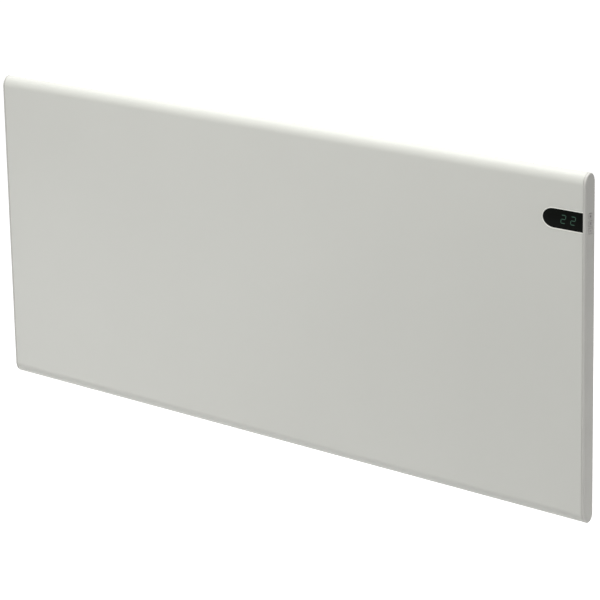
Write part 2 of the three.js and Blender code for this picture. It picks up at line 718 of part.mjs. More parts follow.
// A ring of the cover at a depth.
function coverRing(depth, halfX, halfZ, corner) {
  return roundedRectangle(point(0, 0), halfX, halfZ, corner, 3).map(
    (p) => new THREE.Vector3(p.x, depth, p.y),
  );
}

function rearCover() {
  const flangeHalfX = HALF_LENGTH - COVER_END_MARGIN;
  const flangeHalfZ = HALF_HEIGHT - COVER_EDGE_MARGIN;
  const inner = SHEET * (Math.SQRT2 - 1); // keeps the sheet's thickness on the leaning walls
  const tray = skinned([
    coverRing(COVER_BACK, TRAY_BACK_X, TRAY_BACK_Z, TRAY_TOP_CORNER),
    coverRing(COVER_FRONT + SHEET, TRAY_FOOT_X, TRAY_FOOT_Z, TRAY_FOOT_CORNER),
    coverRing(COVER_FRONT + SHEET, flangeHalfX, flangeHalfZ, FLANGE_CORNER),
    coverRing(COVER_FRONT, flangeHalfX, flangeHalfZ, FLANGE_CORNER),
    coverRing(COVER_FRONT, TRAY_FOOT_X - inner, TRAY_FOOT_Z - inner, TRAY_FOOT_CORNER),
    coverRing(COVER_INSIDE, TRAY_BACK_X - inner, TRAY_BACK_Z - inner, TRAY_TOP_CORNER),
  ]);
  const beads = BEAD_HEIGHTS.map((z) => bead(z, 0, [COVER_BACK - SHEET / 2, COVER_BACK]));
  const grooves = BEAD_HEIGHTS.map((z) => bead(z, SHEET, [COVER_INSIDE - SHEET, COVER_INSIDE]));
  const holes = [
    ...coverScrewPlaces().map(([x, z]) => coverHole(x, z, COVER_SCREW.radius + CLEARANCE)),
    ...holderScrewPlaces().map(([x, z]) => coverHole(x, z, HOLDER_SCREW.radius + CLEARANCE)),
    coverHole(GLAND_X, GLAND_Z, GLAND_NECK + CLEARANCE, 16),
    ...hookSlots(),
    ...catchSlots(),
  ];
  return cut(cut(join(tray, ...beads), ...grooves), ...airSlots(), ...holes);
}

// A stiffening bead pressed out of the tray's back, drawn in by an inset for its hollow side.
function bead(z, inset, [from, to]) {
  const centre = point(BEAD_X, z);
  const outline = slotOutline(centre, BEAD_LENGTH - 2 * inset, BEAD_WIDTH - 2 * inset, false, 4);
  return prism("y", [from, to + BEAD_HEIGHT], outline);
}

function coverHole(x, z, radius, sides = SCREW_SIDES) {
  return prism("y", [COVER_FRONT - 1, COVER_BACK + 1], polygon(point(x, z), radius, sides));
}

// Rows of slots in the lower and the upper wall of the tray: air goes in low and leaves high.
function airSlots() {
  const outline = slotOutline(point(0, 0), SLOT_LENGTH, SLOT_WIDTH, true, 3);
  const middleY = COVER_FRONT + SHEET + TRAY_RISE / 2;
  const middleZ = TRAY_FOOT_Z - TRAY_RISE / 2;
  const cutter = prism("y", [-3 * SHEET, 3 * SHEET], outline);
  const places = [];
  const groups = Math.floor((2 * (TRAY_FOOT_X - TRAY_FOOT_CORNER)) / SLOT_GROUP_PITCH);
  for (let group = 0; group < groups; group += 1) {
    for (let i = 0; i < SLOTS_IN_GROUP; i += 1) {
      const groupX = (group - (groups - 1) / 2) * SLOT_GROUP_PITCH;
      places.push(groupX + (i - (SLOTS_IN_GROUP - 1) / 2) * SLOT_PITCH);
    }
  }
  return [-1, 1].flatMap((side) =>
    places.map((x) => cutter.rotate([side * 45, 0, 0]).translate([x, middleY, side * middleZ])),
  );
}

function hookSlots() {
  const top = HOOK_TOP + CLEARANCE;
  const height = HOOK_NECK + HOOK_RISE + HOOK_DROP;
  const reach = (ARM_WIDTH - BRACKET_SHEET) / 2;
  const places = [-ARM_X - reach, -ARM_X + reach, ARM_X - reach, ARM_X + reach];
  return places.map((x) =>
    block(
      about(x, BRACKET_SHEET + 2 * HOOK_PLAY),
      [COVER_INSIDE - 1, COVER_BACK + 1],
      [top - height, top],
    ),
  );
}

function catchSlots() {
  const top = NOSE_BOTTOM + NOSE_NECK + CLEARANCE;
  const bottom = NOSE_BOTTOM - CATCH_TRAVEL - CLEARANCE;
  return [-ARM_X, ARM_X].map((x) =>
    block(about(x, NOSE_WIDTH + 2 * NOSE_PLAY), [COVER_INSIDE - 1, COVER_BACK + 1], [bottom, top]),
  );
}

// ---------------------------------------------------------------- heating element
// Drawn about the middle of its rod.

function finnedCore() {
  const core = block(
    about(0, CORE_LENGTH),
    about(0, CORE_DEPTH),
    about(0, CORE_HEIGHT),
  );
  const fins = [];
  const count = Math.floor(CORE_LENGTH / FIN_PITCH);
  for (let i = 0; i < count; i += 1) {
    const x = (i - (count - 1) / 2) * FIN_PITCH;
    fins.push(block(about(x, FIN_THICKNESS), about(0, FIN_DEPTH), about(0, FIN_HEIGHT)));
  }
  const bore = rodAlong("x", ROD_RADIUS + CLEARANCE, about(0, CORE_LENGTH + 2), 12);
  return cut(join(core, ...fins), bore);
}

function elementRod() {
  const end = CORE_LENGTH / 2 + ROD_END;
  const collar = end + COLLAR_LENGTH;
  const tip = end + PIN_LENGTH;
  const profile = [
    [0, -tip],
    [PIN_RADIUS, -tip],
    [PIN_RADIUS, -collar],
    [COLLAR_RADIUS, -collar],
    [COLLAR_RADIUS, -end],
    [ROD_RADIUS, -end],
    [ROD_RADIUS, end],
    [COLLAR_RADIUS, end],
    [COLLAR_RADIUS, collar],
    [PIN_RADIUS, collar],
    [PIN_RADIUS, tip],
    [0, tip],
  ];
  return turned("x", profile, 12);
}

const holderFace = () => CORE_LENGTH / 2 + CLEARANCE;

// The right-hand holder: a folded sheet from the shield to the rear cover, with its foot on the cover.
function elementHolder() {
  const front = SHIELD_BACK + CLEARANCE - ELEMENT_Y;
  const back = SEAT_ON_COVER - ELEMENT_Y;
  const inside = holderFace();
  const plate = block([inside, inside + HOLDER_SHEET], [front, back], about(0, HOLDER_HEIGHT));
  const foot = block(
    [inside, inside + HOLDER_FOOT],
    [back - HOLDER_SHEET, back],
    about(0, HOLDER_HEIGHT),
  );
  const opening = rodAlong("x", BUSH_NECK_RADIUS + CLEARANCE, [inside - 1, inside + 2 * HOLDER_SHEET], 12);
  const pilot = prism(
    "y",
    [back - 2 * HOLDER_SHEET, back + 1],
    polygon(
      point(inside + HOLDER_FOOT / 2, holderScrewZ()),
      HOLDER_SCREW.radius + CLEARANCE,
      SCREW_SIDES,
    ),
  );
  return cut(join(plate, foot), opening, pilot);
}

const holderScrewZ = () => HOLDER_HEIGHT / 2 - HOLDER_SCREW_INSET;

function holderScrewPlaces() {
  const reach = holderFace() + HOLDER_FOOT / 2;
  const z = holderScrewZ();
  return [[ELEMENT_X - reach, ELEMENT_Z - z], [ELEMENT_X + reach, ELEMENT_Z + z]];
}

function ceramicBush() {
  const bore = ROD_RADIUS + CLEARANCE;
  const start = holderFace();
  const shoulder = start + HOLDER_SHEET + CLEARANCE;
  const end = shoulder + BUSH_FLANGE;
  const profile = [
    [bore, start],
    [BUSH_NECK_RADIUS, start],
    [BUSH_NECK_RADIUS, shoulder],
    [BUSH_FLANGE_RADIUS, shoulder],
    [BUSH_FLANGE_RADIUS, end - BUSH_CHAMFER],
    [BUSH_FLANGE_RADIUS - BUSH_CHAMFER, end],
    [bore, end],
    [bore, start],
  ];
  return turned("x", profile, 12);
}

function heatShield() {
  const front = SHEET + CLEARANCE;
  const plate = block(
    [SHIELD_LEFT, SHIELD_RIGHT],
    [SHIELD_OFFSET, SHIELD_BACK],
    [SHIELD_BOTTOM, SHIELD_TOP],
  );
  const foldAt = (z) => block([SHIELD_LEFT, SHIELD_RIGHT], [front, SHIELD_BACK], [z, z + SHIELD_SHEET]);
  return join(plate, foldAt(SHIELD_BOTTOM), foldAt(SHIELD_TOP - SHIELD_SHEET));
}

// ---------------------------------------------------------------- electronics

function overheatCutout() {
  const seat = SHIELD_BACK + CLEARANCE;
  const shoulder = seat + CUTOUT_HEIGHT;
  const top = shoulder + CUTOUT_CAP;
  const profile = [
    [0, seat],
    [CUTOUT_RADIUS, seat],
    [CUTOUT_RADIUS, shoulder],
    [CUTOUT_CAP_RADIUS, top],
    [0, top],
  ];
  const body = turned("y", profile, 14).translate([CUTOUT_X, 0, CUTOUT_Z]);
  const ears = block(
    about(CUTOUT_X, CUTOUT_EAR_LENGTH),
    [seat, seat + HOLDER_SHEET],
    about(CUTOUT_Z, CUTOUT_EAR_WIDTH),
  );
  const tabs = [-1, 1].map((side) =>
    block(
      about(CUTOUT_X + side * CUTOUT_TAB_OFFSET, TAB_THICKNESS),
      [top - 1, top + TAB_WIDTH],
      about(CUTOUT_Z, TAB_WIDTH),
    ),
  );
  return join(body, ears, ...tabs);
}

function powerCarrier() {
  const front = SEAT_ON_COVER - POWER_DEPTH;
  const outside = block(about(POWER_X, POWER_LENGTH), [front, SEAT_ON_COVER], about(POWER_Z, POWER_HEIGHT));
  const room = block(
    about(POWER_X, POWER_LENGTH - 2 * POWER_WALL),
    [front - 1, SEAT_ON_COVER - POWER_WALL],
    about(POWER_Z, POWER_HEIGHT - 2 * POWER_WALL),
  );
  const posts = powerPosts().map(([x, z]) =>
    block(
      about(x, POWER_POST),
      [front + POWER_POST_DEPTH, SEAT_ON_COVER - POWER_WALL / 2],
      about(z, POWER_POST),
    ),
  );
  return join(cut(outside, room), ...posts);
}

function powerPosts() {
  const x = (POWER_LENGTH - POWER_POST - POWER_WALL) / 2;
  const z = (POWER_HEIGHT - POWER_POST - POWER_WALL) / 2;
  return [[-x, -z], [x, -z], [-x, z], [x, z]].map(([a, b]) => [POWER_X + a, POWER_Z + b]);
}

const powerBoardFront = () =>
  SEAT_ON_COVER - POWER_DEPTH + POWER_POST_DEPTH - CLEARANCE - BOARD;

function powerBoard() {
  const front = powerBoardFront();
  const margin = 2 * (POWER_WALL + CLEARANCE);
  const board = block(
    about(POWER_X, POWER_LENGTH - margin),
    [front, front + BOARD],
    about(POWER_Z, POWER_HEIGHT - margin),
  );
  const { relay, supply, sink, capacitor } = POWER_PARTS;
  const boxes = [relay, supply, sink].map((part) =>
    block(
      about(POWER_X + part.x, part.length),
      [front - part.depth, front + BOARD / 2],
      about(POWER_Z + part.z, part.height),
    ),
  );
  const can = rodAlong("y", capacitor.radius, [front - capacitor.depth, front + BOARD / 2], 12);
  return join(board, ...boxes, can.translate([POWER_X + capacitor.x, 0, POWER_Z + capacitor.z]));
}

function terminalBlock() {
  const front = SEAT_ON_COVER - TERMINAL_DEPTH;
  const base = block(
    about(TERMINAL_X, TERMINAL_LENGTH),
    [front, SEAT_ON_COVER],
    about(TERMINAL_Z, TERMINAL_HEIGHT),
  );
  const towers = terminalPlaces().map((x) =>
    rodAlong("y", TERMINAL_TOWER_RADIUS, [front - TERMINAL_TOWER, front + 1], 10).translate([
      x,
      0,
      TERMINAL_Z,
    ]),
  );
  const top = TERMINAL_Z + TERMINAL_HEIGHT / 2;
  const ways = terminalPlaces().map((x) =>
    rodAlong("z", TERMINAL_WAY_RADIUS, [top - TERMINAL_WAY_DEPTH, top + 1], 8).translate([
      x,
      leadSocketY(),
      0,
    ]),
  );
  return cut(join(base, ...towers), ...ways);
}

const terminalPlaces = () => [-1, 0, 1].map((i) => TERMINAL_X + i * TERMINAL_PITCH);
const leadSocketY = () => SEAT_ON_COVER - TERMINAL_DEPTH / 2;

const sensorSeat = () => PANEL_DEPTH - SHEET - CLEARANCE;
const sensorZ = () => -HALF_HEIGHT + REAR_EDGE_RISE + RETURN_FLANGE / 2;

function temperatureSensor() {
  const { radius, taper, below, above } = SENSOR_BULB;
  const seat = sensorSeat();
  const clip = block(
    about(SENSOR_X, SENSOR_CLIP.length),
    [seat - SENSOR_CLIP.depth, seat],
    about(sensorZ(), SENSOR_CLIP.height),
  );
  const bulb = turned("z", [[0, -below], [radius, taper - below], [radius, above], [0, above]], 10);
  return join(clip, bulb.translate([SENSOR_X, seat - SENSOR_STAND, sensorZ()]));
}

function cableGland() {
  const shoulder = COVER_BACK + CLEARANCE;
  const end = COVER_BACK + GLAND_OUTSIDE;
  const start = COVER_INSIDE - CLEARANCE - GLAND_NUT_DEPTH - GLAND_BEYOND_NUT;
  const profile = [
    [GLAND_BORE, start],
    [GLAND_NECK, start],
    [GLAND_NECK, shoulder],
    [GLAND_FLANGE, shoulder],
    [GLAND_FLANGE, shoulder + GLAND_HEXAGON],
    [GLAND_NECK + 1, shoulder + GLAND_HEXAGON + 2],
    [GLAND_NECK, end - 1],
    [GLAND_BORE + GLAND_WALL, end],
    [GLAND_BORE, end],
    [GLAND_BORE, start],
  ];
  return turned("y", profile, 16).translate([GLAND_X, 0, GLAND_Z]);
}

function glandNut() {
  const back = COVER_INSIDE - CLEARANCE;
  const span = [back - GLAND_NUT_DEPTH, back];
  const hexagon = prism("y", span, polygon(point(GLAND_X, GLAND_Z), GLAND_NUT_RADIUS, 6));
  const bore = polygon(point(GLAND_X, GLAND_Z), GLAND_NECK + CLEARANCE, 16);
  return cut(hexagon, prism("y", [span[0] - 1, span[1] + 1], bore));
}

// ---------------------------------------------------------------- leads

// A round lead along straight runs, with a rounded bend at each point between them.
function lead(route, radius, steps) {
  const points = route.map((p) => new THREE.Vector3(...p));
  const toward = (from, to, distance) =>
    from.clone().lerp(to, Math.min(distance / from.distanceTo(to), 0.45));
  const path = new THREE.CurvePath();
  let start = points[0];
  for (let i = 1; i + 1 < points.length; i += 1) {
    const corner = points[i];
    const before = toward(corner, points[i - 1], LEAD_BEND);
    const after = toward(corner, points[i + 1], LEAD_BEND);
    path.add(new THREE.LineCurve3(start, before));
    path.add(new THREE.QuadraticBezierCurve3(before, corner, after));
    start = after;
  }
  path.add(new THREE.LineCurve3(start, points.at(-1)));
  const shape = new THREE.Shape(polygon(point(0, 0), radius, 6));
  return solidOf(new THREE.ExtrudeGeometry(shape, { steps, extrudePath: path, bevelEnabled: false }));
}

const rodTip = () => CORE_LENGTH / 2 + ROD_END + PIN_LENGTH;

function leadLive() {
  const [socket] = terminalPlaces();
  const top = TERMINAL_Z + TERMINAL_HEIGHT / 2;
  const tip = ELEMENT_X + rodTip() + CLEARANCE;
  return lead(
    [
      [socket, leadSocketY(), top - TERMINAL_WAY_DEPTH + 1],
      [socket, leadSocketY(), ELEMENT_Z],
      [tip + 8, ELEMENT_Y, ELEMENT_Z],
      [tip, ELEMENT_Y, ELEMENT_Z],
    ],
    LEAD_RADIUS,
    14,
  );
}

// The neutral lead crosses over the fins on the heat shield to the far end of the element.
function leadNeutral() {
  const [, socket] = terminalPlaces();
  const top = TERMINAL_Z + TERMINAL_HEIGHT / 2;
  const onShield = SHIELD_BACK + CLEARANCE + LEAD_RADIUS;
  const run = ELEMENT_Z + FIN_HEIGHT / 2 + 12;
  const tip = ELEMENT_X - rodTip() - CLEARANCE;
  return lead(
    [
      [socket, leadSocketY(), top - TERMINAL_WAY_DEPTH + 1],
      [socket, leadSocketY(), top + 14],
      [socket, onShield, run],
      [tip - 12, onShield, run],
      [tip - 12, ELEMENT_Y, ELEMENT_Z],
      [tip, ELEMENT_Y, ELEMENT_Z],
    ],
    LEAD_RADIUS,
    40,
  );
}

function sensorLead() {
  const x = SENSOR_X;
  const y = sensorSeat() - SENSOR_STAND;
  const bulbTop = sensorZ() + SENSOR_BULB.above + CLEARANCE;
  const boardY = CARRIER_BACK + CLEARANCE + BOARD + CLEARANCE + SENSOR_LEAD_RADIUS;
  return lead(
    [
      [x, y, bulbTop],
      [x, y, bulbTop + 20],
      [x, y - 2, bulbTop + 90],
      [x, y - 2, DISPLAY_HEIGHT - 90],
      [x, boardY, DISPLAY_HEIGHT - CARRIER_WIDTH / 2],
      [x, boardY, DISPLAY_HEIGHT - CARRIER_WIDTH / 2 + 6],
    ],
    SENSOR_LEAD_RADIUS,
    17,
  );
}

// The sleeved lead from the power board up to the control board's socket.
function controlLead() {
  const boardFront = powerBoardFront();
  const socketY = CARRIER_BACK + CLEARANCE + BOARD + SOCKET_HEIGHT / 2;
  const socketLeft = carrierX() - SOCKET_OFFSET - SOCKET_LENGTH / 2 - CLEARANCE;
  return lead(
    [
      [POWER_X + 4, boardFront - CLEARANCE, POWER_Z + 4],
      [POWER_X + 4, boardFront - 8, POWER_Z + 4],
      [POWER_X + 8, boardFront - 16, POWER_Z + 30],
      [socketLeft - 22, socketY, DISPLAY_HEIGHT - 14],
      [socketLeft - 6, socketY, DISPLAY_HEIGHT],
      [socketLeft, socketY, DISPLAY_HEIGHT],
    ],
    CONTROL_LEAD_RADIUS,
    24,
  );
}

// ---------------------------------------------------------------- wall bracket
// Arms, catches and springs are drawn about the arm's middle, with the wall at y = 0.

function bracketArm() {
  const half = ARM_WIDTH / 2;
  const web = block([-half, half], [-BRACKET_SHEET, 0], [ARM_BOTTOM, ARM_TOP]);
  const side = armSide();
  const sides = [side.translate([-half, 0, 0]), side.translate([half - BRACKET_SHEET, 0, 0])];
  const shelf = block(
    [-half + BRACKET_SHEET / 2, half - BRACKET_SHEET / 2],
    [SPRING_Y - SPRING_RADIUS - SPRING_SHELF_MARGIN, -BRACKET_SHEET / 2],
    [SPRING_SHELF_TOP - BRACKET_SHEET, SPRING_SHELF_TOP],
  );
  const spigot = rodAlong(
    "z",
    SPRING_SPIGOT_RADIUS,
    [SPRING_SHELF_TOP - BRACKET_SHEET / 2, SPRING_SHELF_TOP + SPRING_SPIGOT],
    8,
  ).translate([0, SPRING_Y, 0]);
  const fixings = ARM_FIXINGS.map((rise) => fixingSlot(point(0, ARM_BOTTOM + rise), true));
  const rivetHoles = [-RIVET_Z, RIVET_Z].map((z) =>
    rodAlong("x", RIVET_RADIUS + CLEARANCE, [-half - 1, half + 1], 8).translate([0, RIVET_Y, z]),
  );
  return cut(join(web, ...sides, shelf, spigot), pegSlots(), ...fixings, ...rivetHoles);
}

function fixingSlot(centre, upright) {
  const outline = slotOutline(centre, FIXING_SLOT_LENGTH, FIXING_SLOT_WIDTH, upright, 4);
  return prism("y", [-2 * BRACKET_SHEET, BRACKET_SHEET], outline);
}

// One folded side of the arm, as (y, z): it ends below in the hook on which the heater hangs.
function armSide() {
  const reach = WALL_GAP - CLEARANCE;
  const slope = reach - ARM_WAIST;
  const tip = HOOK_REACH + HOOK_TIP;
  const outline = pairs([
    [0, ARM_BOTTOM],
    [0, ARM_TOP],
    [-reach + ARM_CHAMFER, ARM_TOP],
    [-reach, ARM_TOP - ARM_CHAMFER],
    [-reach, ARM_WAIST_TOP + slope],
    [-ARM_WAIST, ARM_WAIST_TOP],
    [-ARM_WAIST, ARM_WAIST_BOTTOM + slope],
    [-reach, ARM_WAIST_BOTTOM],
    [-reach, HOOK_TOP],
    [-HOOK_REACH, HOOK_TOP],
    [-HOOK_REACH, HOOK_TOP + HOOK_RISE],
    [-HOOK_REACH - HOOK_TIP / 3, HOOK_TOP + HOOK_RISE],
    [-tip, HOOK_TOP + HOOK_RISE - HOOK_TIP],
    [-tip, HOOK_TOP - HOOK_NECK + HOOK_TIP],
    [-tip + HOOK_TIP, HOOK_TOP - HOOK_NECK],
    [-reach, HOOK_TOP - HOOK_NECK],
    [-reach, ARM_BOTTOM + ARM_CHAMFER],
    [-reach + ARM_CHAMFER, ARM_BOTTOM],
  ]);
  return prism("x", [0, BRACKET_SHEET], outline.reverse());
}

// The catch's pegs run in these.
function pegSlots() {
  const bottom = NOSE_BOTTOM + PEG_RISE;
  return block(
    [-ARM_WIDTH / 2 - 1, ARM_WIDTH / 2 + 1],
    about(PEG_Y, PEG_SIZE + 2 * CLEARANCE),
    [bottom - CATCH_TRAVEL - CLEARANCE, bottom + PEG_SIZE + CLEARANCE],
  );
}

function wallRail() {
  const half = ARM_X - ARM_WIDTH / 2 - CLEARANCE;
  const height = RAIL_HEIGHT / 2;
  const web = block([-half, half], [-BRACKET_SHEET, 0], [-height, height]);
  const edges = [-height, height - BRACKET_SHEET].map((z) =>
    block([-half, half], [-RAIL_DEPTH, 0], [z, z + BRACKET_SHEET]),
  );
  const tabs = [-half, half - BRACKET_SHEET].map((x) =>
    block([x, x + BRACKET_SHEET], [-RAIL_TAB_DEPTH, 0], [-height, height]),
  );
  const fixings = [-RAIL_SLOT_X, RAIL_SLOT_X].map((x) => fixingSlot(point(x, 0), false));
  const rivetHoles = [-RIVET_Z, RIVET_Z].map((z) =>
    rodAlong("x", RIVET_RADIUS + CLEARANCE, [-half - 1, half + 1], 8).translate([0, RIVET_Y, z]),
  );
  return cut(join(web, ...edges, ...tabs), ...fixings, ...rivetHoles);
}

// A rivet through a rail tab and an arm's side, about the middle of the two sheets.
function rivet() {
  const grip = BRACKET_SHEET + 1.5 * CLEARANCE;
  const head = grip + RIVET_HEAD;
  const profile = [
    [0, -head],
    [RIVET_HEAD_TOP, -head],
    [RIVET_HEAD_RADIUS, -grip],
    [RIVET_RADIUS, -grip],
    [RIVET_RADIUS, grip],
    [RIVET_HEAD_RADIUS, grip],
    [RIVET_HEAD_TOP, head],
    [0, head],
  ];
  return turned("x", profile, 8);
}

function catchSlider() {
  const half = ARM_WIDTH / 2 - BRACKET_SHEET - CATCH_PLAY;
  const spineBack = CATCH_SPINE_Y + CATCH_SPINE;
  const cheekFront = PEG_Y - PEG_SIZE;
  const cheekTop = NOSE_BOTTOM + NOSE_NECK + CATCH_CHEEK_RISE;
  const spine = block([-half, half], [CATCH_SPINE_Y, spineBack], [CATCH_BOTTOM, CATCH_THUMB_TOP]);
  const thumb = block(
    [-half, half],
    [CATCH_SPINE_Y - CATCH_THUMB_DEPTH, spineBack],
    [CATCH_THUMB_TOP - CATCH_THUMB, CATCH_THUMB_TOP],
  );
  const cheeks = block([-half, half], [cheekFront, spineBack], [CATCH_BOTTOM, cheekTop]);
  const betweenCheeks = block(
    about(0, 2 * (half - CATCH_CHEEK)),
    [cheekFront - 1, CATCH_SPINE_Y],
    [CATCH_BOTTOM + CATCH_FLOOR, cheekTop + 1],
  );
  const peg = block(
    about(0, ARM_WIDTH - 2 * PEG_INSET),
    about(PEG_Y, PEG_SIZE),
    about(NOSE_BOTTOM + PEG_RISE + PEG_SIZE / 2, PEG_SIZE),
  );
  const spigot = rodAlong(
    "z",
    SPRING_SPIGOT_RADIUS,
    [CATCH_BOTTOM - SPRING_SPIGOT, CATCH_BOTTOM + 1],
    8,
  ).translate([0, SPRING_Y, 0]);
  const nose = prism("x", about(0, NOSE_WIDTH), noseOutline());
  return join(cut(join(cheeks, peg), betweenCheeks), spine, thumb, spigot, nose);
}

// The catch's nose, as (y, z): it reaches through the rear cover and up behind its sheet.
function noseOutline() {
  const neckTop = NOSE_BOTTOM + NOSE_NECK;
  const tip = HOOK_REACH + NOSE_TIP;
  return pairs([
    [CATCH_SPINE_Y + CATCH_SPINE / 2, NOSE_BOTTOM],
    [CATCH_SPINE_Y + CATCH_SPINE / 2, neckTop],
    [-HOOK_REACH, neckTop],
    [-HOOK_REACH, neckTop + NOSE_RISE],
    [-HOOK_REACH - NOSE_TIP / 3, neckTop + NOSE_RISE],
    [-tip, neckTop],
    [-tip, NOSE_BOTTOM],
  ]).reverse();
}

class Helix extends THREE.Curve {
  constructor(radius, height, turns) {
    super();
    this.radius = radius;
    this.height = height;
    this.turns = turns;
  }

  getPoint(t, target = new THREE.Vector3()) {
    const angle = 2 * Math.PI * this.turns * t;
    return target.set(this.radius * Math.cos(angle), this.radius * Math.sin(angle), this.height * t);
  }
}

function catchSpring() {
  const bottom = SPRING_SHELF_TOP + CLEARANCE + SPRING_WIRE;
  const top = CATCH_BOTTOM - CLEARANCE - SPRING_WIRE;
  const path = new Helix(SPRING_RADIUS, top - bottom, SPRING_TURNS);
  const shape = new THREE.Shape(polygon(point(0, 0), SPRING_WIRE, 5));
  const geometry = new THREE.ExtrudeGeometry(shape, {
    steps: 8 * SPRING_TURNS,
    extrudePath: path,
    bevelEnabled: false,
  });
  return solidOf(geometry).translate([0, SPRING_Y, bottom]);
}

// ---------------------------------------------------------------- screws

// A pan-head screw along +Y, its head's seat at y = 0.
function screw({ radius, length, headRadius, head }) {
  const profile = [
    [0, -length],
    [radius * 0.5, -length],
    [radius, -length + radius],
    [radius, 0],
    [headRadius, 0],
    [headRadius, head * 0.4],
    [headRadius * 0.6, head],
    [0, head],
  ];
  return turned("y", profile, SCREW_SIDES);
}

// ---------------------------------------------------------------- assembly

function piece(name, made, material, group) {
  const mesh = new THREE.Mesh(geometryOf(made), material);
  mesh.name = name;
  group.add(mesh);
  return mesh;
}

function group(parent, x, y, z) {
  const made = new THREE.Group();
  made.position.set(x, y, z);
  parent.add(made);
  return made;
}

function screws(name, size, places, seat, parent) {
  places.forEach(([x, z], i) => {
    piece(`${name}_${i + 1}`, screw(size), screwSteel(), parent).position.set(x, seat, z);
  });
}

function addPanel(heater) {
  piece("front_panel", frontPanel(), paint(), heater);
  piece("rear_cover", rearCover(), paint(), heater);
  piece("end_cap_right", rightCap(), mouldedPlastic(), heater);
  piece("end_cap_left", plainCap(), mouldedPlastic(), heater).rotation.y = Math.PI;
  screws("cover_screw", COVER_SCREW, coverScrewPlaces(), COVER_FRONT + SHEET + CLEARANCE, heater);
  screws("cap_screw", CAP_SCREW, capScrewPlaces(), PANEL_DEPTH + CLEARANCE, heater);
}

function addControls(heater) {
  piece("display_window", displayWindow(), blackGloss(), heater);
  piece("display_module", displayModule(), blackPlastic(), heater);
  piece("display_carrier", displayCarrier(), blackPlastic(), heater);
  piece("control_board", controlBoard(), boardGreen(), heater);
  piece("key_board", keyBoard(), boardGreen(), heater);
  buttonHeights().forEach((z, i) => {
    piece(BUTTON_NAMES[i], button(), mouldedPlastic(), heater).position.z = z;
  });
  const seat = CARRIER_BACK + CLEARANCE + BOARD + CLEARANCE;
  screws("board_screw", BOARD_SCREW, boardScrewPlaces(), seat, heater);
}

function addElement(heater) {
  const element = group(heater, ELEMENT_X, ELEMENT_Y, ELEMENT_Z);
  piece("heating_fins", finnedCore(), aluminium(), element);
  piece("element_rod", elementRod(), zincSteel(), element);
  piece("element_holder_right", elementHolder(), zincSteel(), element);
  piece("element_holder_left", elementHolder(), zincSteel(), element).rotation.y = Math.PI;
  piece("ceramic_bush_right", ceramicBush(), ceramic(), element);
  piece("ceramic_bush_left", ceramicBush(), ceramic(), element).rotation.y = Math.PI;
  piece("heat_shield", heatShield(), aluminium(), heater);
  piece("overheat_cutout", overheatCutout(), blackPlastic(), heater);
  screws("holder_screw", HOLDER_SCREW, holderScrewPlaces(), COVER_BACK + CLEARANCE, heater);
}

function addElectronics(heater) {
  piece("power_carrier", powerCarrier(), blackPlastic(), heater);
  piece("power_board", powerBoard(), boardGreen(), heater);
  piece("terminal_block", terminalBlock(), ceramic(), heater);
  piece("temperature_sensor", temperatureSensor(), blackPlastic(), heater);
  piece("cable_gland", cableGland(), blackPlastic(), heater);
  piece("gland_nut", glandNut(), blackPlastic(), heater);
  piece("lead_live", leadLive(), finish(0x5a3a26, 0.6, 0), heater);
  piece("lead_neutral", leadNeutral(), finish(0x2a4f86, 0.6, 0), heater);
  piece("sensor_lead", sensorLead(), blackPlastic(), heater);
  piece("control_lead", controlLead(), blackPlastic(), heater);
}

function addBracket(bracket) {
  piece("wall_rail", wallRail(), zincSteel(), bracket);
  const sheets = ARM_X - ARM_WIDTH / 2 - CLEARANCE / 2;
  const rivets = [[-sheets, -RIVET_Z], [-sheets, RIVET_Z], [sheets, -RIVET_Z], [sheets, RIVET_Z]];
  rivets.forEach(([x, z], i) => {
    piece(`rivet_${i + 1}`, rivet(), screwSteel(), bracket).position.set(x, RIVET_Y, z);
  });
  for (const [side, x] of [["left", -ARM_X], ["right", ARM_X]]) {
    const arm = group(bracket, x, 0, 0);
    piece(`bracket_arm_${side}`, bracketArm(), zincSteel(), arm);
    piece(`catch_${side}`, catchSlider(), blackPlastic(), arm);
    piece(`catch_spring_${side}`, catchSpring(), screwSteel(), arm);
  }
}

const object = new THREE.Group();
const heater = group(object, 0, -WALL, 0);
addPanel(heater);
addControls(heater);
addElement(heater);
addElectronics(heater);
addBracket(object);

export default object;
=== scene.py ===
"""Wall panel convector heater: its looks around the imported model, in metres."""
import math

import bmesh
import bpy
from mathutils import Matrix, Vector


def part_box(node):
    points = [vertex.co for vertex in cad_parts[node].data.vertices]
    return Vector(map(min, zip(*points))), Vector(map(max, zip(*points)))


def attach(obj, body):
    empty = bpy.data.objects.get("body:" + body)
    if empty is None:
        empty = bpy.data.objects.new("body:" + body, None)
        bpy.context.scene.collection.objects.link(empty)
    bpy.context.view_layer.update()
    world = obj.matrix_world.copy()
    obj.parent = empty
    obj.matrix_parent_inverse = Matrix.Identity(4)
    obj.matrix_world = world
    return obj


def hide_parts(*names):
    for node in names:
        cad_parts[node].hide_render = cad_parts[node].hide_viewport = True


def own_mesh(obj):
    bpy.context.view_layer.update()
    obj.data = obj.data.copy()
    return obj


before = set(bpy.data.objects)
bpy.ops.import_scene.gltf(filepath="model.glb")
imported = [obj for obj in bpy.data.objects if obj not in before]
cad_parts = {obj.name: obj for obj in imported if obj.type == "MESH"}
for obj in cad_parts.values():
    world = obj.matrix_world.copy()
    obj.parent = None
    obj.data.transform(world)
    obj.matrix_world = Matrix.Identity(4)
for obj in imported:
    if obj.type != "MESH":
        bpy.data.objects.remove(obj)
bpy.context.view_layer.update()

MM = 0.001

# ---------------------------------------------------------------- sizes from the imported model

panel_low, panel_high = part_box("front_panel")
cap_low, cap_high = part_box("end_cap_right")
window_low, window_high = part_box("display_window")
cover_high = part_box("rear_cover")[1]

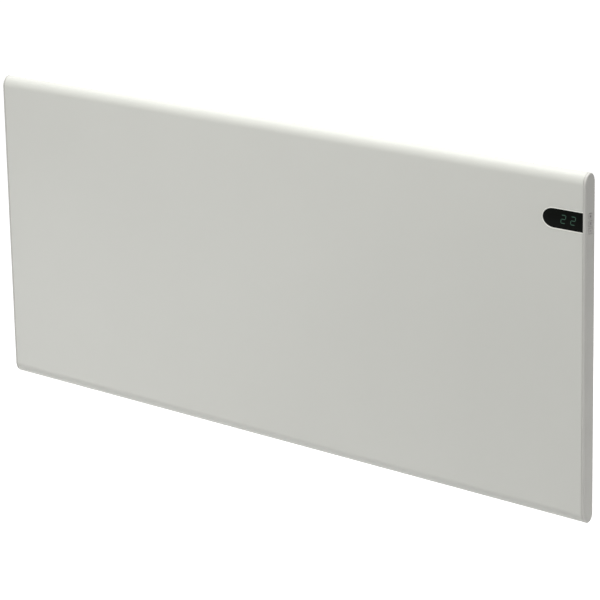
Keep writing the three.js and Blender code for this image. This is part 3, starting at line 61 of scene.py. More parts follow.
FRONT = panel_low.y
PANEL_BACK = panel_high.y
PANEL_DEPTH = PANEL_BACK - FRONT
HALF_HEIGHT = panel_high.z
SHEET_END = panel_high.x
HEATER_END = cap_high.x
SPIGOT_END = cap_low.x
FRONT_RISE = 13 * MM  # height of the rolled edge's front part
REAR_RISE = 10 * MM  # and of its rear part
FRONT_DEPTH = 9 * MM
REAR_DEPTH = PANEL_DEPTH - FRONT_DEPTH
SHEET = 1 * MM
FLANGE_EDGE = HALF_HEIGHT - 30 * MM  # where the return flanges end
SEAM = 0.3 * MM
HAIR = 0.05 * MM
SHORT = 0.005 * MM  # by which a half round stays short of its middle
WINDOW_LIFT = 1.5 * MM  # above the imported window's middle
WINDOW_MIDDLE = (window_low.z + window_high.z) / 2 + WINDOW_LIFT
WINDOW_HALF_WIDTH = 10 * MM
WINDOW_END = 13.5 * MM  # length of its round end
WINDOW_LEFT = SHEET_END - 49.5 * MM

# ---------------------------------------------------------------- finishes

NODES = {
    "coordinates": "ShaderNodeTexCoord",
    "noise": "ShaderNodeTexNoise",
    "cells": "ShaderNodeTexVoronoi",
    "waves": "ShaderNodeTexWave",
    "mapping": "ShaderNodeMapping",
    "ramp": "ShaderNodeValToRGB",
    "range": "ShaderNodeMapRange",
    "bump": "ShaderNodeBump",
}


def linear(srgb):
    return tuple(c / 12.92 if c <= 0.04045 else ((c + 0.055) / 1.055) ** 2.4 for c in srgb)


class Finish:
    """A material on one Principled shader, with patterns in the object's own coordinates."""

    def __init__(self, name, srgb, roughness, metallic=0.0, specular=0.5):
        self.material = bpy.data.materials.new(name)
        self.material.use_nodes = True
        self.tree = self.material.node_tree
        self.shader = self.tree.nodes["Principled BSDF"]
        self.colour = (*linear(srgb), 1)
        entries = ("Base Color", "Roughness", "Metallic", "Specular IOR Level")
        for entry, value in zip(entries, (self.colour, roughness, metallic, specular)):
            self.shader.inputs[entry].default_value = value
        self.roughness = roughness
        self.height = None

    def node(self, kind, **values):
        made = self.tree.nodes.new(NODES[kind])
        for name, value in values.items():
            made.inputs[name.replace("_", " ")].default_value = value
        return made

    def link(self, start, output, end, entry):
        self.tree.links.new(start.outputs[output], end.inputs[entry])

    def placed(self, stretch=(1, 1, 1)):
        mapping = self.node("mapping", Scale=stretch)
        self.link(self.node("coordinates"), "Object", mapping, "Vector")
        return mapping

    def noise(self, scale, detail=3.0, stretch=(1, 1, 1)):
        noise = self.node("noise", Scale=scale, Detail=detail, Roughness=0.55)
        self.link(self.placed(stretch), "Vector", noise, "Vector")
        return noise

    def cells(self, scale, stretch=(1, 1, 1)):
        cells = self.node("cells", Scale=scale)
        self.link(self.placed(stretch), "Vector", cells, "Vector")
        return cells

    def shaded(self, pattern, output, darker, lighter, low=0.35, high=0.65):
        """The base colour varies with a pattern, between two shares of itself."""
        ramp = self.node("ramp")
        for element, place, share in zip(ramp.color_ramp.elements, (low, high), (darker, lighter)):
            element.position = place
            element.color = (*(min(1, c * share) for c in self.colour[:3]), 1)
        self.link(pattern, output, ramp, "Fac")
        self.link(ramp, "Color", self.shader, "Base Color")

    def rubbed(self, pattern, output, spread):
        """Roughness varies with a pattern, by a spread to each side."""
        span = self.node("range")
        span.inputs["To Min"].default_value = self.roughness - spread
        span.inputs["To Max"].default_value = self.roughness + spread
        self.link(pattern, output, span, "Value")
        self.link(span, "Result", self.shader, "Roughness")

    def raised(self, pattern, output, distance):
        """A bump of that depth, on top of any before it."""
        bump = self.node("bump", Strength=1.0, Distance=distance)
        self.link(pattern, output, bump, "Height")
        if self.height:
            self.link(self.height, "Normal", bump, "Normal")
        self.link(bump, "Normal", self.shader, "Normal")
        self.height = bump


def powder_paint():
    finish = Finish("satin powder paint", (0.795, 0.797, 0.772), 0.42, specular=0.45)
    cloud = finish.noise(3.0, 2.0)
    finish.shaded(cloud, "Fac", 0.985, 1.015)
    skin = finish.noise(420.0, 2.0)
    finish.rubbed(skin, "Fac", 0.04)
    finish.raised(skin, "Fac", 0.000012)
    return finish.material


def cap_moulding():
    finish = Finish("textured light grey moulding", (0.752, 0.748, 0.728), 0.52, specular=0.4)
    finish.shaded(finish.noise(24.0), "Fac", 0.975, 1.02)
    grain = finish.cells(1600.0)
    finish.rubbed(finish.noise(900.0), "Fac", 0.06)
    finish.raised(grain, "Distance", 0.00003)
    return finish.material


def key_moulding():
    finish = Finish("satin key moulding", (0.70, 0.69, 0.675), 0.4, specular=0.45)
    finish.shaded(finish.noise(90.0), "Fac", 0.97, 1.02)
    grain = finish.noise(1400.0)
    finish.rubbed(grain, "Fac", 0.05)
    finish.raised(grain, "Fac", 0.00001)
    return finish.material


def key_ink():
    finish = Finish("grey key print", (0.36, 0.34, 0.34), 0.6, specular=0.3)
    grain = finish.noise(1800.0)
    finish.shaded(grain, "Fac", 0.8, 1.15)
    finish.rubbed(grain, "Fac", 0.08)
    return finish.material


def highlight_rim_finish():
    # The rim's near-white colour is a painted highlight: it is brighter than any moulding so the
    # rim shows as a bright edge round the window.
    finish = Finish("window rim painted highlight", (0.93, 0.93, 0.9), 0.3, specular=0.5)
    grain = finish.noise(900.0)
    finish.shaded(grain, "Fac", 0.98, 1.01)
    finish.rubbed(grain, "Fac", 0.04)
    return finish.material


def window_gloss():
    finish = Finish("black window", (0.035, 0.045, 0.033), 0.08, specular=0.04)
    smear = finish.noise(60.0, 4.0, (1, 1, 3))
    finish.shaded(smear, "Fac", 0.8, 1.25)
    finish.rubbed(smear, "Fac", 0.04)
    return finish.material


def lit_digits():
    finish = Finish("green digit segments", (0.17, 0.25, 0.21), 0.4, specular=0.1)
    grain = finish.noise(700.0)
    finish.shaded(grain, "Fac", 0.85, 1.1)
    finish.rubbed(grain, "Fac", 0.05)
    finish.shader.inputs["Emission Color"].default_value = (0.35, 1.0, 0.66, 1)
    finish.shader.inputs["Emission Strength"].default_value = 0.035
    return finish.material


def black_moulding():
    finish = Finish("black moulding", (0.115, 0.115, 0.12), 0.5, specular=0.4)
    finish.shaded(finish.noise(40.0), "Fac", 0.85, 1.2)
    grain = finish.cells(1300.0)
    finish.rubbed(finish.noise(700.0), "Fac", 0.07)
    finish.raised(grain, "Distance", 0.00003)
    return finish.material


def zinc_sheet():
    finish = Finish("zinc-plated sheet", (0.72, 0.73, 0.74), 0.36, metallic=1.0)
    spangle = finish.cells(160.0, (1, 1, 1.6))
    finish.shaded(spangle, "Distance", 0.86, 1.08, 0.1, 0.9)
    finish.rubbed(finish.noise(80.0, 4.0), "Fac", 0.09)
    finish.raised(finish.noise(900.0, 2.0, (1, 1, 0.08)), "Fac", 0.000012)
    return finish.material


def rolled_aluminium():
    finish = Finish("rolled aluminium", (0.85, 0.86, 0.87), 0.32, metallic=1.0)
    streaks = finish.noise(700.0, 3.0, (1, 1, 0.03))
    finish.shaded(streaks, "Fac", 0.9, 1.06)
    finish.rubbed(streaks, "Fac", 0.08)
    finish.raised(streaks, "Fac", 0.00001)
    return finish.material


def bright_steel():
    finish = Finish("bright zinc screw steel", (0.66, 0.67, 0.69), 0.27, metallic=1.0)
    wear = finish.noise(500.0, 4.0)
    finish.shaded(wear, "Fac", 0.82, 1.08)
    finish.rubbed(wear, "Fac", 0.09)
    finish.raised(wear, "Fac", 0.000015)
    return finish.material


def spring_wire():
    finish = Finish("spring steel wire", (0.52, 0.53, 0.55), 0.24, metallic=1.0)
    drawn = finish.noise(1400.0, 3.0, (1, 1, 4))
    finish.shaded(drawn, "Fac", 0.8, 1.1)
    finish.rubbed(drawn, "Fac", 0.08)
    return finish.material


def fired_ceramic():
    finish = Finish("unglazed ceramic", (0.92, 0.89, 0.83), 0.7, specular=0.3)
    finish.shaded(finish.noise(500.0, 5.0), "Fac", 0.88, 1.03)
    pits = finish.cells(1100.0)
    finish.raised(pits, "Distance", 0.00004)
    finish.rubbed(finish.noise(300.0), "Fac", 0.08)
    return finish.material


def board_laminate():
    finish = Finish("green board laminate", (0.10, 0.36, 0.21), 0.38, specular=0.5)
    tracks = finish.node("waves", Scale=190.0, Distortion=14.0, Detail=1.0, Detail_Scale=0.4)
    finish.link(finish.placed((1, 1, 0.4)), "Vector", tracks, "Vector")
    finish.shaded(tracks, "Fac", 0.75, 1.5, 0.55, 0.62)
    finish.rubbed(finish.noise(400.0), "Fac", 0.06)
    finish.raised(tracks, "Fac", 0.00002)
    return finish.material


def sleeve(name, srgb):
    finish = Finish(name, srgb, 0.55, specular=0.35)
    weave = finish.cells(1900.0)
    finish.shaded(weave, "Distance", 0.75, 1.2, 0.2, 0.8)
    finish.rubbed(finish.noise(500.0), "Fac", 0.08)
    finish.raised(weave, "Distance", 0.00004)
    return finish.material


PAINT = powder_paint()
MOULDING = cap_moulding()
KEYS = key_moulding()
KEY_PRINT = key_ink()
HIGHLIGHT_RIM = highlight_rim_finish()
WINDOW = window_gloss()
DIGITS = lit_digits()
BLACK = black_moulding()
ZINC = zinc_sheet()
ALUMINIUM = rolled_aluminium()
SCREW_STEEL = bright_steel()
WIRE = spring_wire()
CERAMIC = fired_ceramic()
BOARD = board_laminate()
BROWN_SLEEVE = sleeve("brown silicone sleeve", (0.36, 0.22, 0.15))
BLUE_SLEEVE = sleeve("blue silicone sleeve", (0.16, 0.31, 0.53))
DARK_SLEEVE = sleeve("dark silicone sleeve", (0.13, 0.13, 0.14))

# ---------------------------------------------------------------- shaping

SHARP = math.radians(32)


def only_verts(result):
    return [g for g in result["geom"] if isinstance(g, bmesh.types.BMVert)]


def tidy(bm, nearest=0.002 * MM):
    bmesh.ops.remove_doubles(bm, verts=bm.verts, dist=nearest)
    bmesh.ops.recalc_face_normals(bm, faces=bm.faces)
    return bm


def moved(bm, by, verts=None):
    bmesh.ops.translate(bm, verts=verts or bm.verts, vec=by)
    return bm


def spun(bm, angle, axis):
    """The body after a turn about an axis through the origin."""
    turn = Matrix.Rotation(angle, 3, axis)
    bmesh.ops.rotate(bm, cent=(0, 0, 0), matrix=turn, verts=bm.verts)
    return bm


def middle_of(node):
    low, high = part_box(node)
    return (low + high) / 2


def box_between(low, high):
    bm = bmesh.new()
    bmesh.ops.create_cube(bm, size=1)
    low, high = Vector(low), Vector(high)
    bmesh.ops.scale(bm, vec=high - low, verts=bm.verts)
    return moved(bm, (low + high) / 2)


def rounded(bm, edges, width, steps=3):
    """Rounds edges by a width."""
    bmesh.ops.bevel(
        bm,
        geom=list(edges),
        offset=width,
        offset_type="OFFSET",
        segments=steps,
        profile=0.5,
        affect="EDGES",
        clamp_overlap=True,
        material=-1,
    )
    return bm


def facing(bm, axis, side):
    """The faces that look along an axis (0 to 2), to its plus side (1) or its minus side (-1)."""
    bm.normal_update()
    return [f for f in bm.faces if side * f.normal[axis] > 0.99]


def rim_rounded(bm, axis, side, width, steps):
    """Rounds the rim of the faces that look along an axis."""
    return rounded(bm, {e for f in facing(bm, axis, side) for e in f.edges}, width, steps)


def sharp_edges(bm):
    bm.normal_update()
    return [e for e in bm.edges if len(e.link_faces) == 2 and e.calc_face_angle() > SHARP]


def softened(bm, width, steps=2):
    return rounded(bm, sharp_edges(bm), width, steps)


def edges_along(bm, axis, length):
    """The edges that reach along an axis (0 to 2) for about that length."""
    reach = 0.9 * length
    return [e for e in bm.edges if abs(e.verts[0].co[axis] - e.verts[1].co[axis]) > reach]


def plate(corner_a, corner_b, radius, span, steps=10, rounded_corners=(True,) * 4):
    """A flat plate across Y with rounded corners: corners are (x, z), span its (low y, high y)."""
    (x0, z0), (x1, z1) = corner_a, corner_b
    bm = box_between((x0, span[0], z0), (x1, span[1], z1))
    across = edges_along(bm, 1, span[1] - span[0])
    places = [(x0, z0), (x1, z0), (x1, z1), (x0, z1)]

    def wanted(edge):
        middle = (edge.verts[0].co + edge.verts[1].co) / 2
        away = [abs(middle.x - x) + abs(middle.z - z) for x, z in places]
        return rounded_corners[away.index(min(away))]

    rounded(bm, [e for e in across if wanted(e)], radius, steps)
    return tidy(bm, 0.02 * MM)


def turned(profile, axis, steps):
    """A closed body from (radius, height) points, turned about the X or Y axis."""
    bm = bmesh.new()
    verts = [bm.verts.new((r, 0, h)) for r, h in profile]
    edges = [bm.edges.new(pair) for pair in zip(verts, verts[1:])]
    if profile[0][0] > 0 and profile[-1][0] > 0:
        edges.append(bm.edges.new((verts[-1], verts[0])))
    bmesh.ops.spin(
        bm,
        geom=verts + edges,
        cent=(0, 0, 0),
        axis=(0, 0, 1),
        angle=math.tau,
        steps=steps,
        use_merge=True,
    )
    tidy(bm)
    return spun(bm, math.pi / 2, "Y") if axis == "x" else spun(bm, -math.pi / 2, "X")


def added(name, data):
    """A new object in the scene."""
    thing = bpy.data.objects.new(name, data)
    bpy.context.scene.collection.objects.link(thing)
    return thing


def dropped(thing):
    """Takes an object and its mesh out again."""
    mesh = thing.data
    bpy.data.objects.remove(thing)
    bpy.data.meshes.remove(mesh)


def mesh_of(bm, name):
    mesh = bpy.data.meshes.new(name)
    bm.to_mesh(mesh)
    bm.free()
    return mesh


def joined(*bodies):
    whole = bmesh.new()
    for body in bodies:
        part = mesh_of(body, "part")
        whole.from_mesh(part)
        bpy.data.meshes.remove(part)
    return whole


def with_modifier(bm, kind, **settings):
    """The body after one modifier."""
    thing = added("work", mesh_of(bm, "work"))
    modifier = thing.modifiers.new("work", kind)
    for name, value in settings.items():
        setattr(modifier, name, value)
    seen = thing.evaluated_get(bpy.context.evaluated_depsgraph_get())
    result = bmesh.new()
    result.from_mesh(seen.to_mesh())
    seen.to_mesh_clear()
    dropped(thing)
    return result


def thickened(bm):
    """A surface made into sheet, inwards."""
    return with_modifier(bm, "SOLIDIFY", thickness=SHEET, offset=-1, use_even_offset=True)


def combined(bm, others, operation):
    tool = added("tool", mesh_of(others, "tool"))
    result = with_modifier(bm, "BOOLEAN", operation=operation, object=tool, solver="MANIFOLD")
    dropped(tool)
    bmesh.ops.dissolve_degenerate(result, dist=0.001 * MM, edges=result.edges)
    return tidy(result)


def cut(bm, *tools):
    return combined(bm, joined(*tools), "DIFFERENCE")


def fused(bm, *others):
    return combined(bm, joined(*others), "UNION")


def piece(name, bm, material, body, slot, *nodes):
    """A finished piece that rides on a body and stands for its CAD nodes."""
    mesh = mesh_of(bm, name)
    mesh.materials.append(material)
    mesh.shade_smooth()
    mesh.set_sharp_from_angle(angle=SHARP)
    made = added(name, mesh)
    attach(made, body)
    if nodes:
        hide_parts(*nodes)
    return made


def welded_copy(node):
    bm = bmesh.new()
    bm.from_mesh(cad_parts[node].data)
    bmesh.ops.remove_doubles(bm, verts=bm.verts, dist=0.001 * MM)
    return bm


def merged_copy(node):
    """The CAD node's mesh with its flat faces whole."""
    bm = welded_copy(node)
    bmesh.ops.dissolve_limit(bm, angle_limit=math.radians(1), verts=bm.verts, edges=bm.edges)
    return bm


def softened_node(node, material, slot, width, body="heater"):
    """The CAD node's own shape with its sharp edges eased."""
    piece(node + "_body", softened(merged_copy(node), width), material, body, slot, node)


# ---------------------------------------------------------------- front panel and end caps


def panel_bar(span, steps=20):
    """A solid bar with the slim panel's section, from a round one drawn to its depths."""
    radius = PANEL_DEPTH / 2
    bm = box_between((span[0], FRONT, -HALF_HEIGHT), (span[1], PANEL_BACK, HALF_HEIGHT))
    rounded(bm, edges_along(bm, 0, span[1] - span[0]), radius - SHORT, steps)
    tidy(bm, 0.02 * MM)
    middle = FRONT + PANEL_DEPTH / 2
    poles = [v for v in bm.verts if abs(v.co.y - middle) < 0.01 * MM]
    quarters = []
    for front in (True, False):
        for side in (-1, 1):
            arc = [
                v
                for v in bm.verts
                if side * v.co.z > HALF_HEIGHT - radius - 0.1 * MM
                and abs(v.co.y - middle) > 0.01 * MM
                and (v.co.y < middle) == front
            ]
            quarters.append((front, side, arc))
    for front, side, arc in quarters:
        face, depth, rise = PANEL_BACK, REAR_DEPTH, REAR_RISE
        if front:
            face, depth, rise = FRONT, FRONT_DEPTH, FRONT_RISE
        bmesh.ops.scale(
            bm,
            vec=(1, depth / radius, rise / radius),
            verts=arc,
            space=Matrix.Translation((0, -face, -side * HALF_HEIGHT)),
        )
    return moved(bm, (0, FRONT + FRONT_DEPTH - middle, 0), poles)


def d_plate(margin, right, span, steps=28):
    """The window's outline as a plate: a long half round at the left, square at the right."""
    half = WINDOW_HALF_WIDTH + margin
    bm = plate(
        (WINDOW_LEFT - margin, WINDOW_MIDDLE - half),
        (right, WINDOW_MIDDLE + half),
        half - SHORT,
        span,
        steps,
        (True, False, False, True),
    )
    middle = WINDOW_LEFT + WINDOW_HALF_WIDTH
    for vert in bm.verts:
        if vert.co.x < middle:
            reach = (middle - vert.co.x) * (WINDOW_END + margin) / half
            vert.co.x = WINDOW_LEFT + WINDOW_END - reach
    return bm


BEZEL_WIDTH = 1.3 * MM


def make_front_panel():
    bm = panel_bar((-SHEET_END, SHEET_END))
    ends = [f for f in bm.faces if abs(f.normal.x) > 0.9]
    bmesh.ops.delete(bm, geom=ends, context="FACES")
    for z in (-FLANGE_EDGE, FLANGE_EDGE):
        back = [f for f in bm.faces if f.normal.y > 0.99 and f.calc_area() > 0.01]
        edges = {e for f in back for e in f.edges}
        verts = {v for f in back for v in f.verts}
        geom = [*back, *edges, *verts]
        bmesh.ops.bisect_plane(bm, geom=geom, plane_co=(0, 0, z), plane_no=(0, 0, 1))
    opening = [
        f
        for f in bm.faces
        if f.normal.y > 0.99 and abs(f.calc_center_median().z) < FLANGE_EDGE
    ]
    bmesh.ops.delete(bm, geom=opening, context="FACES")
    sheet = thickened(bm)
    notch = d_plate(BEZEL_WIDTH + HAIR, SHEET_END + 2 * MM, (FRONT - MM, FRONT + 2 * MM))
    piece("front_sheet", cut(sheet, notch), PAINT, "heater", "paint", "front_panel")


CAP_EDGE = 1.6 * MM  # rounding of the cap's outer edge
CAP_WALL = 1.8 * MM
CAP_END = 2 * MM  # thickness of the cap's end
CAP_INSIDE = 2.2 * MM  # from the panel's faces to the ribs and bosses
RIB_HEIGHTS = (-120 * MM, -40 * MM, 40 * MM)
RIB_HALF = 1 * MM
BOSS = 9 * MM
BOSS_DROP = 20 * MM  # from the panel's edge to a boss's middle


def pushed(bm, faces, rim, by):
    """Insets the faces by a rim and pushes them along X, with walls behind them."""
    bmesh.ops.inset_region(bm, faces=faces, thickness=rim, use_even_offset=True)
    walls = bmesh.ops.extrude_face_region(bm, geom=faces)
    moved(bm, (by, 0, 0), only_verts(walls))
    bmesh.ops.delete(bm, geom=faces, context="FACES")


def cap_shell():
    """The right cap's moulding: lip, spigot and hollow."""
    lip = SHEET_END + SEAM
    bm = rim_rounded(panel_bar((lip, HEATER_END)), 0, 1, CAP_EDGE, 6)
    pushed(bm, facing(bm, 0, -1), SHEET + SEAM, SPIGOT_END - lip)
    mouth = [
        f
        for f in facing(bm, 0, -1)
        if abs(f.calc_center_median().x - SPIGOT_END) < 0.01 * MM
    ]
    pushed(bm, mouth, CAP_WALL, HEATER_END - CAP_END - SPIGOT_END)
    return tidy(bm)


def cap_bars():
    """Ribs across the hollow, and a screw boss near each end."""
    back = PANEL_BACK - CAP_INSIDE
    bars = [
        box_between(
            (SPIGOT_END, FRONT + CAP_INSIDE, z - RIB_HALF),
            (HEATER_END - MM, back, z + RIB_HALF),
        )
        for z in RIB_HEIGHTS
    ]
    for side in (-1, 1):
        z = side * (HALF_HEIGHT - BOSS_DROP)
        bars.append(
            box_between(
                (SHEET_END - BOSS, back - BOSS, z - BOSS / 2),
                (HEATER_END - MM, back, z + BOSS / 2),
            )
        )
    return bars


BUTTONS = ("button_minus", "button_menu", "button_plus")
KEY_FLANGE = 0.7 * MM
KEY_CORNER = 1.4 * MM
KEY_PROUD = 0.3 * MM  # of the cap's side, at rest
DISPLAY_ROOM = 17.3 * MM  # half of the cap's opening for the display


def key_bar(name, margin, span):
    """A key's rounded outline across Y and Z, along X: its flange is the widest of the node."""
    low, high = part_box(name)
    edge = Vector((0, KEY_FLANGE - margin, KEY_FLANGE - margin))
    low, high = low + edge, high - edge
    bm = box_between((span[0], low.y, low.z), (span[1], high.y, high.z))
    rounded(bm, edges_along(bm, 0, span[1] - span[0]), KEY_CORNER + margin, 6)
    return bm


def make_end_caps():
    right = fused(cap_shell(), *cap_bars())
    holes = [key_bar(n, SEAM, (HEATER_END - 3 * MM, HEATER_END + MM)) for n in BUTTONS]
    display_room = box_between(
        (SPIGOT_END - MM, FRONT - MM, WINDOW_MIDDLE - DISPLAY_ROOM),
        (SHEET_END + SEAM, FRONT + 3.4 * MM, WINDOW_MIDDLE + DISPLAY_ROOM),
    )
    right = cut(right, display_room, *holes)
    piece("right_end_cap", right, MOULDING, "heater", "moulding", "end_cap_right")
    left = spun(fused(cap_shell(), *cap_bars()), math.pi, "Y")
    piece("left_end_cap", left, MOULDING, "heater", "moulding", "end_cap_left")


make_front_panel()
make_end_caps()

# ---------------------------------------------------------------- display and buttons

WINDOW_DEPTH = 3 * MM
WINDOW_FLANGE = 1.6 * MM  # past the window's outline, behind the sheet
FLANGE_DROP = 1.3 * MM  # from the panel's front to that flange
DIGIT_HEIGHT = 8.4 * MM
DIGIT_WIDTH = 5.4 * MM
DIGIT_BAR = 0.85 * MM
DIGIT_DEPTH = 0.4 * MM
DIGIT_GAP = 0.55 * MM  # by which a bar stays short of the corners
DIGIT_LIFT = 0.3 * MM  # above the window's middle
DIGIT_LEAN = 0.12
DIGIT_CENTRES = (SHEET_END - 23.8 * MM, SHEET_END - 11.8 * MM)


def make_window():
    back = FRONT + WINDOW_DEPTH
    glass = d_plate(0, SHEET_END, (FRONT + HAIR, back))
    rim = d_plate(WINDOW_FLANGE, SHEET_END, (FRONT + FLANGE_DROP, back))
    rim_rounded(glass, 1, -1, 0.25 * MM, 3)
    piece("smoked_window", fused(glass, rim), WINDOW, "heater", "window", "display_window")


def make_bezel():
    """The rim around the window: a ring, cut off flush with the sheet's end; its pale colour is a
    painted highlight.
    """
    bm = d_plate(BEZEL_WIDTH, SHEET_END + 4 * MM, (FRONT, FRONT + 1.2 * MM))
    ring = cut(bm, d_plate(HAIR, SHEET_END + 8 * MM, (FRONT - MM, FRONT + 2 * MM)))
    bmesh.ops.bisect_plane(
        ring,
        geom=ring.verts[:] + ring.edges[:] + ring.faces[:],
        plane_co=(SHEET_END, 0, 0),
        plane_no=(1, 0, 0),
        clear_outer=True,
    )
    bmesh.ops.holes_fill(ring, edges=[e for e in ring.edges if e.is_boundary])
    tidy(ring)
    front = [
        e
        for e in sharp_edges(ring)
        if all(abs(v.co.y - FRONT) < 0.01 * MM for v in e.verts)
    ]
    rounded(ring, front, 0.3 * MM, 3)
    piece("window_bezel", ring, HIGHLIGHT_RIM, "heater", "moulding")


def segment(length, upright):
    """One bar of a digit, pointed at both ends."""
    half, width = length / 2, DIGIT_BAR / 2
    bm = box_between((-half, FRONT, -width), (half, FRONT + DIGIT_DEPTH, width))
    rounded(bm, edges_along(bm, 1, DIGIT_DEPTH), 0.9 * width, 1)
    return spun(bm, math.pi / 2, "Y") if upright else bm


def make_digit(name, centre, lit):
    across = DIGIT_WIDTH / 2
    up = DIGIT_HEIGHT / 2
    places = {
        "top": (0, up, False),
        "middle": (0, 0, False),
        "bottom": (0, -up, False),
        "upper left": (-across, up / 2, True),
        "upper right": (across, up / 2, True),
        "lower left": (-across, -up / 2, True),
        "lower right": (across, -up / 2, True),
    }
    bars = []
    for key in lit:
        x, z, upright = places[key]
        bar = segment((up if upright else DIGIT_WIDTH) - DIGIT_GAP, upright)
        bars.append(moved(bar, (x, 0, z)))
    bm = joined(*bars)
    lean = Matrix.Identity(3)
    lean[0][2] = DIGIT_LEAN
    bmesh.ops.transform(bm, matrix=lean, verts=bm.verts)
    moved(bm, (centre, 0, WINDOW_MIDDLE + DIGIT_LIFT))
    piece(name, bm, DIGITS, "heater", "window")


def sign_bars(name, middle):
    """A minus, a three-line menu sign or a plus, on the key's face."""
    face = HEATER_END + KEY_PROUD
    depth = 0.12 * MM
    half, width = 1.35 * MM, 0.28 * MM

    def bar(y, z, half_y, half_z):
        return box_between(
            (face - depth, middle.y + y - half_y, middle.z + z - half_z),
            (face, middle.y + y + half_y, middle.z + z + half_z),
        )

    if name == "button_minus":
        return [bar(0, 0, half, width)]
    if name == "button_plus":
        return [bar(0, 0, half, width), bar(0, 0, width, half)]
    return [bar(0, z * MM, half, 0.2 * MM) for z in (-0.95, 0, 0.95)]


def make_buttons():
    for name in BUTTONS:
        low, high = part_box(name)
        key = rim_rounded(key_bar(name, 0, (low.x, high.x - HAIR)), 0, 1, 0.5 * MM, 4)
        flange = key_bar(name, KEY_FLANGE, (low.x, low.x + 1.2 * MM))
        piece(name + "_key", fused(key, flange), KEYS, name, "moulding", name)
        sign = sign_bars(name, middle_of(name))
        mark = fused(sign[0], *sign[1:]) if name == "button_plus" else joined(*sign)
        piece(name + "_sign", mark, KEY_PRINT, name, "moulding")


make_window()
make_bezel()
TWO = ("top", "upper right", "middle", "lower left", "bottom")
make_digit("digit_tens", DIGIT_CENTRES[0], TWO)
make_digit("digit_units", DIGIT_CENTRES[1], TWO)
make_buttons()

# ---------------------------------------------------------------- rear cover

COVER_EDGE = 172 * MM
TRAY_FOOT = (353.5 * MM, 153.5 * MM)
TRAY_BACK = (324.3 * MM, 124.3 * MM)
TRAY_PLANE = -37 * MM
FLANGE_BACK = PANEL_BACK + SEAM + SHEET
WALL_LEAN = math.radians(45)
SLOT_GROUPS = [(group - 2.5) * 106 * MM for group in range(6)]
SLOT_STEPS = [(step - 2.5) * 14 * MM for step in range(6)]
SLOT_HALF_WIDTH = 2.3 * MM
SLOT_HALF_LENGTH = 13 * MM
COVER_SCREWS = [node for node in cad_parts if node.startswith("cover_screw")]
ARMS = (-200 * MM, 200 * MM)
HOOK_REACH = 17.25 * MM  # from an arm's middle to each of its hooks
HOOK_OPENING = (1.45 * MM, -116.7 * MM, -97.7 * MM)  # half width, bottom, top
CATCH_OPENING = (7.6 * MM, 83.7 * MM, 100.3 * MM)


def outline_face(half_x, half_z, corner, y, steps=8):
    """A flat face with rounded corners across Y."""
    bm = bmesh.new()
    bmesh.ops.create_grid(bm, x_segments=1, y_segments=1, size=1)
    bmesh.ops.scale(bm, vec=(half_x, half_z, 1), verts=bm.verts)
    bmesh.ops.bevel(
        bm, geom=bm.verts[:], offset=corner, segments=steps, profile=0.5, affect="VERTICES"
    )
    return moved(spun(bm, math.pi / 2, "X"), (0, y, 0))


def bend(before, corner, after, steps=5):
    """Outlines that turn smoothly from one flat to the next."""
    shares = [step / steps for step in range(steps + 1)]
    return [before.lerp(corner, t).lerp(corner.lerp(after, t), t) for t in shares]


def drawn_out(bm, edges, old, new):
    """Draws a loop of edges out to a new outline (half x, half z, corner, y): the new loop."""
    grown = bmesh.ops.extrude_edge_only(bm, edges=edges)
    for vert in only_verts(grown):
        side = Vector((math.copysign(1, vert.co.x), math.copysign(1, vert.co.z)))
        was = Vector((side.x * (old[0] - old[2]), side.y * (old[1] - old[2])))
        away = (Vector((vert.co.x, vert.co.z)) - was) / old[2]
        vert.co.x = side.x * (new[0] - new[2]) + away.x * new[2]
        vert.co.z = side.y * (new[1] - new[2]) + away.y * new[2]
        vert.co.y = new[3]
    edge_set = [g for g in grown["geom"] if isinstance(g, bmesh.types.BMEdge)]
    new_verts = set(only_verts(grown))
    return [edge for edge in edge_set if new_verts.issuperset(edge.verts)]


def pressed_tray():
    """The cover's outside as one surface: back, leaning walls and flange, with rounded bends."""
    back = Vector((*TRAY_BACK, 12 * MM, TRAY_PLANE))
    foot = Vector((*TRAY_FOOT, 26 * MM, FLANGE_BACK))
    edge = Vector((cover_high.x, COVER_EDGE, 12 * MM, FLANGE_BACK))
    reach = 3 * MM
    inner = back - Vector((reach, reach, reach, 0))
    wall = reach / math.hypot(TRAY_FOOT[0] - TRAY_BACK[0], TRAY_PLANE - FLANGE_BACK)
    outlines = bend(inner, back, back.lerp(foot, wall))
    outlines += bend(foot.lerp(back, wall), foot, foot.lerp(edge, reach / (edge - foot).y))
    outlines.append(edge)
    bm = outline_face(*outlines[0])
    loop = bm.edges[:]
    for old, new in zip(outlines, outlines[1:]):
        loop = drawn_out(bm, loop, old, new)
    bmesh.ops.recalc_face_normals(bm, faces=bm.faces)
    middle = max(bm.faces, key=lambda f: f.calc_area())
    if middle.normal.y < 0:
        bmesh.ops.reverse_faces(bm, faces=bm.faces)
    return bm


def slot_tool(x, side):
    """One air slot through a leaning wall, with round ends."""
    corner = (SLOT_HALF_WIDTH, SLOT_HALF_LENGTH)
    opposite = (-SLOT_HALF_WIDTH, -SLOT_HALF_LENGTH)
    tool = plate(opposite, corner, SLOT_HALF_WIDTH - SHORT, (-4 * MM, 4 * MM), 8)
    spun(tool, side * WALL_LEAN, "X")
    middle_y = (FLANGE_BACK + TRAY_PLANE) / 2
    middle_z = side * (TRAY_FOOT[1] + TRAY_BACK[1]) / 2
    return moved(tool, (x, middle_y, middle_z))


def round_tool(x, z, radius, span, steps):
    bm = turned([(0, span[0]), (radius, span[0]), (radius, span[1]), (0, span[1])], "y", steps)
    return moved(bm, (x, 0, z))


